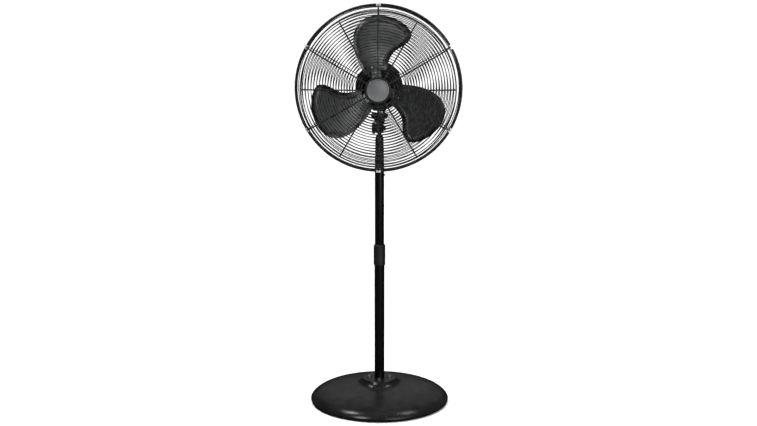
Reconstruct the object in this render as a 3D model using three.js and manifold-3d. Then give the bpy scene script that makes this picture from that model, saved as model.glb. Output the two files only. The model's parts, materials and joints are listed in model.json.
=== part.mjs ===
// A floor-standing pedestal fan: weighted dome base, telescopic column, tilting and
// swinging head with an induction motor, and three broad blades in a wire guard.
// Millimetres, +Z up, origin on the floor under the column. The fan faces -Y.
import * as THREE from 'three';
import { mergeVertices } from 'three/addons/utils/BufferGeometryUtils.js';
import Module from 'manifold-3d';

const wasm = await Module();
wasm.setup();

// ---- Driving dimensions ----
const GAP = 0.3;                  // clearance between two pieces that touch

const BASE_RADIUS = 250;
const PLATEAU_RADIUS = 63;
const PLATEAU_TOP = 86;           // flat crown of the base, where the column enters
const COVER_WALL = 2;
const BOLT_CIRCLE = 37;           // radius of the four flange bolts

const LOWER_TUBE = { outer: 18, inner: 16.9, bottom: 14, top: 548 };
const UPPER_TUBE = { outer: 16.5, inner: 14.9, bottom: 400, top: 841 };
const COLLAR = { radius: 21, bottom: 506, split: 530, top: 581 };
const POST_RADIUS = 14.5;         // neck post above the upper tube

const TILT_HEIGHT = 998;          // tilt bolt axis, along X
const TONGUE_RADIUS = 18;
const TONGUE_HALF = 7;
const CHEEK_RIGHT = 14;
const CHEEK_LEFT = -12;
const PLATFORM_TOP = 1048;        // top of the tilt bracket, where the head turns
const PIN_RADIUS = 5;             // swivel pin and tilt bolt
const CRADLE_BOTTOM = 1056;       // the swing link passes between platform and cradle

const AXIS = 1148;                // height of the motor shaft
const MOTOR_RADIUS = 75;
const MOTOR_FRONT = -60;
const MOTOR_SPLIT = -5;
const MOTOR_BACK = 50;
const STACK_FRONT = -22;          // ends of the stator and rotor cores
const STACK_BACK = 16;
const COVER_BACK = 150;           // rear end of the gearbox cover
const SHAFT_RADIUS = 6;
const BEARING_RADIUS = 16;

const WORM_PITCH = Math.PI;       // lead of the one-start worm
const WORM_HELIX = 5.3;
const WORM_THREAD = 0.7;
const WHEEL_TEETH = 24;
const SPINDLE = { x: 17.6, y: 70, radius: 3 };
const PINION_TEETH = 10;
const GEAR_TEETH = 40;
const CRANK_Y = 95;               // crank axis behind the swivel axis
const CRANK_THROW = 10.6;
const ANCHOR_X = 15;              // anchor screw beside the swivel axis
const LINK_REST_ANGLE = 94.5;     // degrees, from +X
const LINK_LENGTH = 95.2;
const LINK_THICKNESS = 2.6;

const GUARD_RIM = 280;            // centre line of the rim wires
const RIM_WIRE = 2.5;
const REAR_RIM_Y = -120;
const FRONT_RIM_Y = -140;
const INNER_RING = 261;           // front ring that carries the short ribs
const INNER_RING_Y = -178;
const GUARD_FRONT_Y = -205;

const BLADE_MIDDLE_Y = -130;
const BLADE_THICKNESS = 1.8;
const HUB_RADIUS = 20;

// ---- Materials ----
function finish(colour, roughness, metalness) {
  return { colour, roughness, metalness };
}
const SATIN_BLACK = finish(0x26282a, 0.45, 0.6);
const BLADE_GREY = finish(0x464947, 0.4, 0.7);
const GUARD_BLACK = finish(0x1b1c1e, 0.4, 0.7);
const BRIGHT_STEEL = finish(0xb9bcc0, 0.25, 1.0);
const PLAIN_STEEL = finish(0x8c9094, 0.4, 1.0);
const CAST_IRON = finish(0x33363a, 0.8, 0.8);
const BLACK_PLASTIC = finish(0x17181a, 0.55, 0.0);
const NYLON = finish(0xd9d6c8, 0.5, 0.0);
const RUBBER = finish(0x101112, 0.9, 0.0);
const COPPER = finish(0xb36a3a, 0.35, 1.0);
const SILVER_BADGE = finish(0x7d8084, 0.35, 0.8);

// ---- Helpers ----
const radians = THREE.MathUtils.degToRad;
const fan = new THREE.Group();

// A three.js geometry as a solid that can be joined and cut.
function solid(geometry) {
  const bare = new THREE.BufferGeometry();
  bare.setAttribute('position', geometry.getAttribute('position'));
  bare.setIndex(geometry.index);
  const merged = mergeVertices(bare, 1e-3);
  const place = merged.getAttribute('position').array;
  const corners = [];
  for (let i = 0; i < merged.index.count; i += 3) {
    const [a, b, c] = merged.index.array.subarray(i, i + 3);
    if (a !== b && b !== c && c !== a) corners.push(a, b, c);
  }
  const triVerts = new Uint32Array(corners);
  const made = new wasm.Manifold(new wasm.Mesh({ numProp: 3, vertProperties: place, triVerts }));
  if (made.volume() >= 0) return made;
  for (let i = 0; i < triVerts.length; i += 3) {
    [triVerts[i + 1], triVerts[i + 2]] = [triVerts[i + 2], triVerts[i + 1]];
  }
  return new wasm.Manifold(new wasm.Mesh({ numProp: 3, vertProperties: place, triVerts }));
}

function join(first, ...others) {
  return others.reduce((sum, other) => sum.add(other), first);
}

function cut(body, ...tools) {
  return tools.reduce((left, tool) => left.subtract(tool), body);
}

// Adds one named piece to the fan.
function piece(name, body, look) {
  const mesh = body.getMesh();
  const geometry = new THREE.BufferGeometry();
  geometry.setAttribute('position', new THREE.BufferAttribute(mesh.vertProperties, 3));
  geometry.setIndex(new THREE.BufferAttribute(mesh.triVerts, 1));
  geometry.computeVertexNormals();
  const material = new THREE.MeshStandardMaterial({
    color: look.colour,
    roughness: look.roughness,
    metalness: look.metalness,
  });
  const made = new THREE.Mesh(geometry, material);
  made.name = name;
  fan.add(made);
}

// Turns a piece built along +Y to lie along the named axis, then moves it into place.
function placed(geometry, axis, at) {
  if (axis === 'z') geometry.rotateX(Math.PI / 2);
  if (axis === 'x') geometry.rotateZ(-Math.PI / 2);
  return geometry.translate(...at);
}

// Small round pieces get fewer sides than large ones.
function sidesFor(radius) {
  if (radius < 6) return 10;
  if (radius < 12) return 14;
  return radius < 30 ? 20 : 24;
}

function sidesOf(profile) {
  return sidesFor(Math.max(...profile.map(([radius]) => radius)));
}

// A turned piece: [radius, distance along the axis] points, closed onto itself or the axis.
function turned(profile, axis = 'z', at = [0, 0, 0], sides = sidesOf(profile)) {
  const points = profile.map(([radius, along]) => new THREE.Vector2(radius, along));
  const ends = [points[0], points[points.length - 1]];
  if (ends.some((end) => end.x > 0)) points.push(points[0].clone());
  return solid(placed(new THREE.LatheGeometry(points, sides), axis, at));
}

function drum(radius, from, to, axis = 'z', at = [0, 0, 0], sides = sidesFor(radius)) {
  return turned([[0, from], [radius, from], [radius, to], [0, to]], axis, at, sides);
}

function ring(outer, inner, from, to, axis = 'z', at = [0, 0, 0], sides = sidesFor(outer)) {
  return turned([[inner, from], [outer, from], [outer, to], [inner, to]], axis, at, sides);
}

function block(x, y, z) {
  const box = new THREE.BoxGeometry(x[1] - x[0], y[1] - y[0], z[1] - z[0]);
  return solid(box.translate((x[0] + x[1]) / 2, (y[0] + y[1]) / 2, (z[0] + z[1]) / 2));
}

// A flat outline drawn in XY and raised from one height to another.
function raised(outline, from, to, at = [0, 0]) {
  const options = { depth: to - from, bevelEnabled: false };
  const plate = new THREE.ExtrudeGeometry(outline, options);
  return solid(plate.translate(at[0], at[1], from));
}

// A round bar along a curve.
function bar(curve, radius, steps, sides = 4) {
  const section = new THREE.Shape();
  for (let i = 0; i < sides; i += 1) {
    const turn = (2 * Math.PI * (i + 0.5)) / sides;
    const corner = [radius * Math.cos(turn), radius * Math.sin(turn)];
    if (i === 0) section.moveTo(...corner);
    else section.lineTo(...corner);
  }
  section.closePath();
  const options = { steps, bevelEnabled: false, extrudePath: curve };
  return solid(new THREE.ExtrudeGeometry(section, options));
}

// A gear outline with straight-sided teeth; one tooth points along startAngle.
function gearOutline(teeth, root, tip, rootShare, tipShare, startAngle) {
  const outline = new THREE.Shape();
  const pitch = (2 * Math.PI) / teeth;
  for (let i = 0; i < teeth; i += 1) {
    const middle = startAngle + i * pitch;
    const corners = [[root, -rootShare], [tip, -tipShare], [tip, tipShare], [root, rootShare]];
    corners.forEach(([radius, share], k) => {
      const turn = middle + (share * pitch) / 2;
      const point = [radius * Math.cos(turn), radius * Math.sin(turn)];
      if (i === 0 && k === 0) outline.moveTo(...point);
      else outline.lineTo(...point);
    });
  }
  outline.closePath();
  return outline;
}

// ---- Base ----
function makeBase() {
  const hole = LOWER_TUBE.outer + 0.6;
  const skin = [
    [hole, PLATEAU_TOP], [58, PLATEAU_TOP], [PLATEAU_RADIUS, PLATEAU_TOP - 2], [66, 75],
    [76, 67], [127, 60], [190, 48], [225, 35], [241, 25], [BASE_RADIUS, 13], [247, 3],
  ];
  const inside = [
    [244.6, 3], [247.8, 12], [239, 23.2], [188.5, 45.8], [126.5, 57.8], [74.6, 64.7], [64, 74],
    [61, PLATEAU_TOP - COVER_WALL - 1], [57.6, PLATEAU_TOP - COVER_WALL],
    [hole, PLATEAU_TOP - COVER_WALL],
  ];
  const shell = turned([...skin, ...inside], 'z', [0, 0, 0], 36);
  const boltHoles = [];
  for (let i = 0; i < 4; i += 1) {
    boltHoles.push(drum(4.3, 30, PLATEAU_TOP + 5, 'z', boltPlace(i)));
  }
  piece('base_cover', cut(shell, ...boltHoles), SATIN_BLACK);

  const weight = turned([
    [LOWER_TUBE.outer + 0.4, 5], [200, 5], [200, 12], [194, 15], [60, 15], [48, 26],
    [48, 78], [LOWER_TUBE.outer + 0.4, 78],
  ]);
  piece('base_weight', cut(weight, ...boltHoles), CAST_IRON);

  piece('base_ring', ring(243, 222, 0, 2.7, 'z', [0, 0, 0], 36), RUBBER);

  const flange = ring(55, LOWER_TUBE.outer + GAP, 78.4, 83.6);
  piece('pole_flange', cut(flange, ...boltHoles), PLAIN_STEEL);

  for (let i = 0; i < 4; i += 1) {
    const at = boltPlace(i);
    const washer = drum(9, PLATEAU_TOP + GAP, PLATEAU_TOP + 2, 'z', at);
    const head = drum(7.2, PLATEAU_TOP + 1.5, PLATEAU_TOP + 8, 'z', at, 6);
    const shank = drum(4, 48, PLATEAU_TOP + 1.5, 'z', at);
    piece(`flange_bolt_${i + 1}`, join(washer, head, shank), BRIGHT_STEEL);
  }
}

function boltPlace(i) {
  const turn = (i * Math.PI) / 2;
  return [BOLT_CIRCLE * Math.cos(turn), BOLT_CIRCLE * Math.sin(turn), 0];
}

// ---- Telescopic column ----
function makeColumn() {
  const { outer, inner, bottom, top } = LOWER_TUBE;
  piece('lower_tube', ring(outer, inner, bottom, top), GUARD_BLACK);

  // The collar body grips the lower tube; its thin neck carries the nut's thread.
  const neck = outer + 1.2;
  piece('collar_body', turned([
    [outer + GAP, COLLAR.bottom], [COLLAR.radius, COLLAR.bottom + 2],
    [COLLAR.radius, COLLAR.split - GAP], [neck, COLLAR.split - GAP], [neck, top],
    [outer + GAP, top],
  ]), BLACK_PLASTIC);

  // The split collet closes on the upper tube when the nut is turned down.
  const collet = turned([
    [UPPER_TUBE.outer + GAP, top + GAP], [18.6, top + GAP], [18.6, top + 12],
    [17.6, top + 20], [UPPER_TUBE.outer + GAP, top + 20],
  ]);
  const slit = block([10, 30], [-1.2, 1.2], [top - 5, top + 25]);
  piece('collar_collet', cut(collet, slit), NYLON);

  piece('collar_nut', turned([
    [neck + GAP, COLLAR.split], [COLLAR.radius + 0.4, COLLAR.split],
    [COLLAR.radius, COLLAR.split + 8], [COLLAR.radius, COLLAR.top - 5],
    [COLLAR.radius - 3, COLLAR.top], [UPPER_TUBE.outer + GAP, COLLAR.top],
    [UPPER_TUBE.outer + GAP, COLLAR.top - 6], [18.3, COLLAR.top - 9],
    [neck + GAP, COLLAR.top - 16],
  ]), BLACK_PLASTIC);

  const screwAt = [0, 0, UPPER_TUBE.top - 10];
  const screwHole = drum(2.3, 8, 30, 'x', screwAt);
  const upper = ring(UPPER_TUBE.outer, UPPER_TUBE.inner, UPPER_TUBE.bottom, UPPER_TUBE.top);
  piece('upper_tube', cut(upper, screwHole), GUARD_BLACK);

  const post = turned([
    [0, UPPER_TUBE.top - 62], [POST_RADIUS, UPPER_TUBE.top - 62], [POST_RADIUS, 960],
    [12, 972], [0, 972],
  ]);
  const tongueEye = drum(TONGUE_RADIUS, -TONGUE_HALF, TONGUE_HALF, 'x', [0, 0, TILT_HEIGHT]);
  const web = block([-TONGUE_HALF, TONGUE_HALF], [-13, 13], [960, TILT_HEIGHT]);
  const tiltBore = drum(PIN_RADIUS + GAP, -20, 20, 'x', [0, 0, TILT_HEIGHT]);
  piece('neck_post', cut(join(post, tongueEye, web), tiltBore, screwHole), SATIN_BLACK);

  piece('neck_set_screw', join(
    drum(2, 9, 17, 'x', screwAt),
    drum(3.6, 16.9, 19.4, 'x', screwAt),
  ), PLAIN_STEEL);
}

// ---- Tilt joint ----
function makeTiltJoint() {
  const at = [0, 0, TILT_HEIGHT];
  const body = turned([[0, 1012], [24, 1012], [26, 1016], [26, 1030], [30, 1037],
    [30, PLATFORM_TOP], [0, PLATFORM_TOP]]);
  const cheeks = [[CHEEK_LEFT, -TONGUE_HALF - 0.4], [TONGUE_HALF + 0.4, CHEEK_RIGHT]];
  const cheekSolids = cheeks.flatMap(([from, to]) => [
    drum(TONGUE_RADIUS, from, to, 'x', at),
    block([from, to], [-TONGUE_RADIUS + 0.1, TONGUE_RADIUS - 0.1], [TILT_HEIGHT, 1020]),
  ]);
  const slot = block([-TONGUE_HALF - 0.4, TONGUE_HALF + 0.4], [-40, 40], [960, 1018]);
  const knobRecess = drum(23, -40, CHEEK_LEFT, 'x', at);
  const headRecess = drum(12, CHEEK_RIGHT, 40, 'x', at);
  const tiltBore = drum(PIN_RADIUS + GAP, -20, 40, 'x', at);
  const swivelBore = drum(PIN_RADIUS + GAP, 1026, 1060, 'z', [0, 0, 0]);
  const anchorBore = drum(2.5, 1036, 1060, 'z', [ANCHOR_X, 0, 0]);
  piece('tilt_bracket', cut(join(body, ...cheekSolids), slot, knobRecess, headRecess,
    tiltBore, swivelBore, anchorBore), SATIN_BLACK);

  piece('tilt_bolt', join(
    drum(PIN_RADIUS, -23, 17, 'x', at),
    drum(9, CHEEK_RIGHT + GAP, 22, 'x', at, 6),
  ), PLAIN_STEEL);

  const knob = [drum(18, -27, -12.6, 'x', at, 24)];
  for (let i = 0; i < 8; i += 1) {
    const turn = (i * Math.PI) / 4;
    const lobe = [0, 16 * Math.cos(turn), TILT_HEIGHT + 16 * Math.sin(turn)];
    knob.push(drum(5, -27, -13.5, 'x', lobe));
  }
  const thread = drum(PIN_RADIUS + GAP, -23.5, 0, 'x', at);
  piece('tilt_knob', cut(join(...knob), thread), BLACK_PLASTIC);

  piece('swivel_pin', drum(PIN_RADIUS, 1026.5, 1066, 'z', [0, 0, 0]), PLAIN_STEEL);
  piece('swivel_bush', ring(6.3, PIN_RADIUS + GAP, PLATFORM_TOP + GAP, CRADLE_BOTTOM - GAP),
    NYLON);
  piece('anchor_screw', join(
    drum(2.2, 1036.5, 1056, 'z', [ANCHOR_X, 0, 0]),
    drum(4.5, 1055.2, 1057.6, 'z', [ANCHOR_X, 0, 0]),
  ), PLAIN_STEEL);
}

// ---- Motor ----
function makeMotor() {
  const at = [0, 0, AXIS];
  const wall = 3;
  const inner = MOTOR_RADIUS - wall;
  const screwHoles = [-17, 17].map((y) => drum(2.3, 1050, 1078, 'z', [0, y, 0]));

  const saddle = turned([[0, CRADLE_BOTTOM], [9, CRADLE_BOTTOM], [9, 1060], [24, 1060],
    [24, 1090], [0, 1090]]);
  const motorSpace = drum(MOTOR_RADIUS + 0.5, -40, 40, 'y', at);
  const swivelBore = drum(PIN_RADIUS + GAP, 1040, 1067, 'z', [0, 0, 0]);
  piece('motor_cradle', cut(saddle, motorSpace, swivelBore, ...screwHoles), SATIN_BLACK);

  piece('motor_front_shell', cut(turned([
    [8.5, MOTOR_FRONT], [66, MOTOR_FRONT], [MOTOR_RADIUS, MOTOR_FRONT + 8],
    [MOTOR_RADIUS, MOTOR_SPLIT - GAP], [inner, MOTOR_SPLIT - GAP], [inner, -50], [64, -57],
    [20, -57], [20, -42], [BEARING_RADIUS + GAP, -42], [BEARING_RADIUS + GAP, -53], [8.5, -53],
  ], 'y', at), ...screwHoles), SATIN_BLACK);
  piece('motor_rear_shell', cut(turned([
    [MOTOR_RADIUS, MOTOR_SPLIT], [MOTOR_RADIUS, 42], [66, MOTOR_BACK], [8.5, MOTOR_BACK],
    [8.5, 46.5], [BEARING_RADIUS + GAP, 46.5], [BEARING_RADIUS + GAP, 36], [20, 36], [20, 47],
    [64, 47], [inner, 40], [inner, MOTOR_SPLIT],
  ], 'y', at), ...screwHoles), SATIN_BLACK);
  [-17, 17].forEach((y, i) => {
    piece(`cradle_screw_${i + 1}`, join(
      drum(2, 1059, 1076, 'z', [0, y, 0]),
      drum(4, 1057.3, 1059.6, 'z', [0, y, 0]),
    ), PLAIN_STEEL);
  });

  // The stator's teeth point inwards: twelve slots are cut through a plain ring.
  const stack = ring(inner - 0.8, 38, STACK_FRONT, STACK_BACK, 'y', at);
  const slots = [];
  for (let i = 0; i < 12; i += 1) {
    const slot = new THREE.BoxGeometry(22, 60, 8);
    slot.translate(46, -3, 0);
    slot.rotateY((i * Math.PI) / 6 + Math.PI / 12);
    slots.push(solid(slot.translate(...at)));
  }
  piece('stator_core', cut(stack, ...slots), PLAIN_STEEL);
  const coils = [
    ['stator_winding_front', STACK_FRONT - 13, STACK_FRONT - 0.4],
    ['stator_winding_rear', STACK_BACK + 0.4, STACK_BACK + 13],
  ];
  coils.forEach(([name, from, to]) => {
    const middle = (from + to) / 2;
    const section = [[44, from], [60, from], [64, middle], [60, to], [44, to], [41, middle]];
    piece(name, turned(section, 'y', at, 20), COPPER);
  });

  [['front_bearing', -52.6, -42.4], ['rear_bearing', 36.2, 46.1]].forEach(([name, from, to]) => {
    piece(name, ring(BEARING_RADIUS, SHAFT_RADIUS + GAP, from, to, 'y', at), BRIGHT_STEEL);
  });
}

function makeRotor() {
  const at = [0, 0, AXIS];
  piece('rotor_core', ring(37.2, SHAFT_RADIUS + GAP, STACK_FRONT, STACK_BACK, 'y', at), PLAIN_STEEL);

  // A thread wound on the shaft's tail makes the worm.
  const turns = 3;
  const middle = SPINDLE.y + WORM_PITCH / 2;
  const helix = new THREE.Curve();
  helix.getPoint = (t) => {
    const along = (t - 0.5) * turns;
    const turn = 2 * Math.PI * along;
    return new THREE.Vector3(WORM_HELIX * Math.cos(turn), middle + WORM_PITCH * along,
      AXIS + WORM_HELIX * Math.sin(turn));
  };
  const shaft = turned([[0, -162], [SHAFT_RADIUS, -162], [SHAFT_RADIUS, 57], [4.6, 58],
    [4.6, 84], [0, 84]], 'y', at);
  piece('motor_shaft', join(shaft, bar(helix, WORM_THREAD, turns * 12, 4)), BRIGHT_STEEL);
}

// ---- Swing gearbox ----
function makeGearbox() {
  const { x, y, radius } = SPINDLE;
  const bore = radius + GAP;
  const shaftOpening = drum(7.5, 50, 57, 'y', [0, 0, AXIS]);
  const crankHole = drum(4.4, 1080, 1100, 'z', [0, CRANK_Y, 0]);
  const spindleHole = drum(bore, 1085, 1140, 'z', [x, y, 0]);
  const outside = block([-32, 35], [52, 124], [1090, 1165]);
  const inside = block([-29.5, 32.5], [54.5, 121.5], [1093.5, 1170]);
  const shelf = block([9, 34], [58, 82], [1131, 1135.6]);
  const box = join(cut(outside, inside), shelf);
  piece('gearbox_case', cut(box, shaftOpening, crankHole, spindleHole), CAST_IRON);

  // The worm wheel turns freely on the spindle until the clutch locks it.
  const wheelTeeth = gearOutline(WHEEL_TEETH, 10.8, 12.6, 0.46, 0.22, 0);
  const wheel = join(raised(wheelTeeth, 1146, 1150, [x, y]), drum(6, 1136, 1146.5, 'z',
    [x, y, 0]));
  piece('worm_wheel', cut(wheel, drum(bore, 1130, 1160, 'z', [x, y, 0])), NYLON);

  // Pinion and crank gear share one line of centres; a tooth meets a gap there.
  const spread = Math.hypot(x, y - CRANK_Y);
  const towardSpindle = Math.atan2(y - CRANK_Y, x);
  const gearPitch = (spread * GEAR_TEETH) / (GEAR_TEETH + PINION_TEETH);
  const pinionPitch = spread - gearPitch;
  const pinionTeeth = gearOutline(PINION_TEETH, pinionPitch - 1.5, pinionPitch + 0.8, 0.5, 0.2,
    towardSpindle + Math.PI);
  piece('clutch_spindle', join(
    drum(radius, 1094.2, 1231, 'z', [x, y, 0]),
    raised(pinionTeeth, 1096, 1122, [x, y]),
  ), PLAIN_STEEL);

  const gearTeeth = gearOutline(GEAR_TEETH, gearPitch - 1.3, gearPitch + 0.8, 0.5, 0.24,
    towardSpindle + Math.PI / GEAR_TEETH);
  piece('crank_gear', join(
    raised(gearTeeth, 1102, 1107, [0, CRANK_Y]),
    drum(8, 1094, 1103, 'z', [0, CRANK_Y, 0]),
    drum(4, 1065, 1095, 'z', [0, CRANK_Y, 0]),
  ), NYLON);

  const disc = join(
    drum(14.5, 1058, 1062, 'z', [0, CRANK_Y, 0], 24),
    drum(7, 1061, 1076, 'z', [0, CRANK_Y, 0]),
    drum(2, 1049, 1059, 'z', [CRANK_THROW, CRANK_Y, 0]),
    drum(7.5, 1047.8, 1049.6, 'z', [CRANK_THROW, CRANK_Y, 0]),
  );
  piece('crank_disc', cut(disc, drum(4.3, 1064.6, 1080, 'z', [0, CRANK_Y, 0])), PLAIN_STEEL);

  // The link's large eye leaves room for the crank pin, where the linkage is open.
  const linked = (geometry) => {
    geometry.rotateZ(radians(LINK_REST_ANGLE));
    return solid(geometry.translate(ANCHOR_X, 0, 1051.4));
  };
  const eye = (distance, eyeRadius, height) => {
    const disc = new THREE.CylinderGeometry(eyeRadius, eyeRadius, height, 20);
    disc.rotateX(Math.PI / 2);
    return linked(disc.translate(distance, 0, LINK_THICKNESS / 2));
  };
  const strap = new THREE.BoxGeometry(LINK_LENGTH, 6, LINK_THICKNESS);
  strap.translate(LINK_LENGTH / 2, 0, LINK_THICKNESS / 2);
  const arm = join(linked(strap), eye(0, 4.6, LINK_THICKNESS), eye(LINK_LENGTH, 8.4,
    LINK_THICKNESS));
  piece('link_arm', cut(arm, eye(0, 2.5, 9), eye(LINK_LENGTH, 5.9, 9)), PLAIN_STEEL);
}

// ---- Rear cover and controls ----
function makeRearCover() {
  const at = [0, 0, AXIS];
  const wall = 2.5;
  const rim = MOTOR_RADIUS;
  const cover = turned([
    [rim, MOTOR_BACK + 0.4], [rim, 128], [70, 140], [55, 149], [20, COVER_BACK],
    [0, COVER_BACK], [0, COVER_BACK - wall], [20, COVER_BACK - wall], [54, 146.5], [68, 138],
    [rim - wall, 127], [rim - wall, MOTOR_BACK + 0.4],
  ], 'y', at);
  const knobHole = drum(SPINDLE.radius + 1.2, 1200, 1230, 'z', [SPINDLE.x, SPINDLE.y, 0]);
  const crankOpening = block([-10, 10], [CRANK_Y - 10, CRANK_Y + 10], [1060, 1086]);
  const switchHole = drum(3.5, 140, 155, 'y', at);
  const glandHole = drum(5.3, 130, 155, 'y', [0, 0, AXIS - 40]);
  piece('rear_cover', cut(cover, knobHole, crankOpening, switchHole, glandHole), SATIN_BLACK);

  piece('clutch_knob', cut(
    turned([[0, 1224], [7, 1224], [9, 1227], [9, 1236], [7, 1239], [0, 1239]], 'z',
      [SPINDLE.x, SPINDLE.y, 0]),
    drum(SPINDLE.radius + GAP, 1220, 1231.5, 'z', [SPINDLE.x, SPINDLE.y, 0]),
  ), BLACK_PLASTIC);

  const gland = turned([
    [3.4, 138], [5, 138], [5, COVER_BACK + GAP], [8.5, COVER_BACK + GAP], [8.5, 156],
    [6.5, 158], [5, 166], [3.4, 166],
  ], 'y', [0, 0, AXIS - 40]);
  piece('cable_gland', gland, BLACK_PLASTIC);

  const switchBore = drum(3.3, 120, 150, 'y', at);
  piece('speed_switch', cut(block([-14, 14], [127, 146], [AXIS - 14, AXIS + 14]), switchBore),
    BLACK_PLASTIC);
  const grip = block([-3, 3], [156, 167], [AXIS - 14, AXIS + 14]);
  piece('speed_knob', join(
    drum(3, 130, 152, 'y', at),
    turned([[0, 150.6], [15, 150.6], [14, 160], [0, 160]], 'y', at),
    grip,
  ), BLACK_PLASTIC);

  piece('run_capacitor', block([-56, -38], [58, 98], [AXIS - 16, AXIS + 18]), NYLON);
}

// ---- Blades and hub ----
// The blade outline as seen from the front: [degrees from +X, radius].
const LEADING_EDGE = [[67.5, 64], [69.5, 101], [67, 132], [61, 159], [57, 186], [58, 210]];
const TRAILING_EDGE = [[133, 64], [126.5, 112], [121.5, 152], [116.5, 186], [112, 210]];
const TIP_RADII = [[58, 210], [63, 223], [71, 234], [80, 241], [91, 245], [101, 239],
  [107, 226], [112, 210]];

// Reads a table of pairs as a broken line.
function along(table, value, from, to) {
  const last = table.length - 1;
  for (let i = 0; i < last; i += 1) {
    const [a, b] = [table[i], table[i + 1]];
    if (value <= b[from] || i === last - 1) {
      return THREE.MathUtils.mapLinear(value, a[from], b[from], a[to], b[to]);
    }
  }
  return table[last][to];
}

// A point of the blade's middle surface: across 0..1 from leading to trailing edge,
// out 0..1 from root to tip. The leading edge lies behind, the trailing edge in front.
function bladePoint(across, out) {
  const root = LEADING_EDGE[0][1];
  const corner = LEADING_EDGE[LEADING_EDGE.length - 1][1];
  const edgeRadius = THREE.MathUtils.lerp(root, corner, out);
  const lead = along(LEADING_EDGE, edgeRadius, 1, 0);
  const trail = along(TRAILING_EDGE, edgeRadius, 1, 0);
  const tipAngle = THREE.MathUtils.lerp(58, 112, across);
  const tip = along(TIP_RADII, tipAngle, 0, 1);
  const turn = radians(THREE.MathUtils.lerp(lead, trail, across));
  const radius = THREE.MathUtils.lerp(root, tip, out);
  const reach = THREE.MathUtils.lerp(20, 34, out);
  const crown = 5 * Math.sin(Math.PI * across);
  const y = BLADE_MIDDLE_Y + (1 - 2 * across) * reach + crown;
  return new THREE.Vector3(radius * Math.cos(turn), y, radius * Math.sin(turn));
}

function makeBlades() {
  const at = [0, 0, AXIS];
  const parts = [turned([[0, -150], [16, -150], [HUB_RADIUS, -146], [HUB_RADIUS, -112],
    [0, -112]], 'y', at)];
  for (let i = 0; i < 3; i += 1) {
    const turn = radians(120 * i);
    const blade = new THREE.BoxGeometry(1, 1, BLADE_THICKNESS, 10, 8, 1);
    const place = blade.getAttribute('position');
    for (let k = 0; k < place.count; k += 1) {
      const spot = bladePoint(place.getX(k) + 0.5, place.getY(k) + 0.5);
      place.setXYZ(k, spot.x, spot.y - place.getZ(k), spot.z);
    }
    blade.rotateY(-turn);
    piece(`blade_${i + 1}`, solid(blade.translate(...at)), BLADE_GREY);

    // Each arm of the hub lies flat behind the root of its blade.
    const arm = new THREE.BoxGeometry(34, 4, 80);
    arm.rotateZ(radians(26));
    arm.translate(0, BLADE_MIDDLE_Y + 10.4, 50);
    arm.rotateY(-turn + radians(-10));
    parts.push(solid(arm.translate(...at)));
  }
  const bore = drum(SHAFT_RADIUS + GAP, -170, -100, 'y', at);
  piece('blade_hub', cut(join(...parts), bore), PLAIN_STEEL);

  const nut = turned([[0, -170], [10, -170], [13, -166], [13, -150.4], [0, -150.4]], 'y', at);
  const tail = drum(SHAFT_RADIUS + GAP, -163, -150, 'y', at);
  piece('spinner_nut', cut(nut, tail), BLACK_PLASTIC);
}

// ---- Guards ----
function hoop(radius, wire, y, sides) {
  const outline = [[radius - 0.87 * wire, y - 0.5 * wire], [radius + 0.87 * wire, y - 0.5 * wire],
    [radius, y + wire]];
  return turned(outline, 'y', [0, 0, AXIS], sides);
}

function rib(route, degrees, wire) {
  const turn = radians(degrees);
  const points = route.map(([radius, y]) => new THREE.Vector3(radius * Math.cos(turn), y,
    AXIS + radius * Math.sin(turn)));
  return bar(new THREE.CatmullRomCurve3(points), wire, 6, 3);
}

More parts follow.
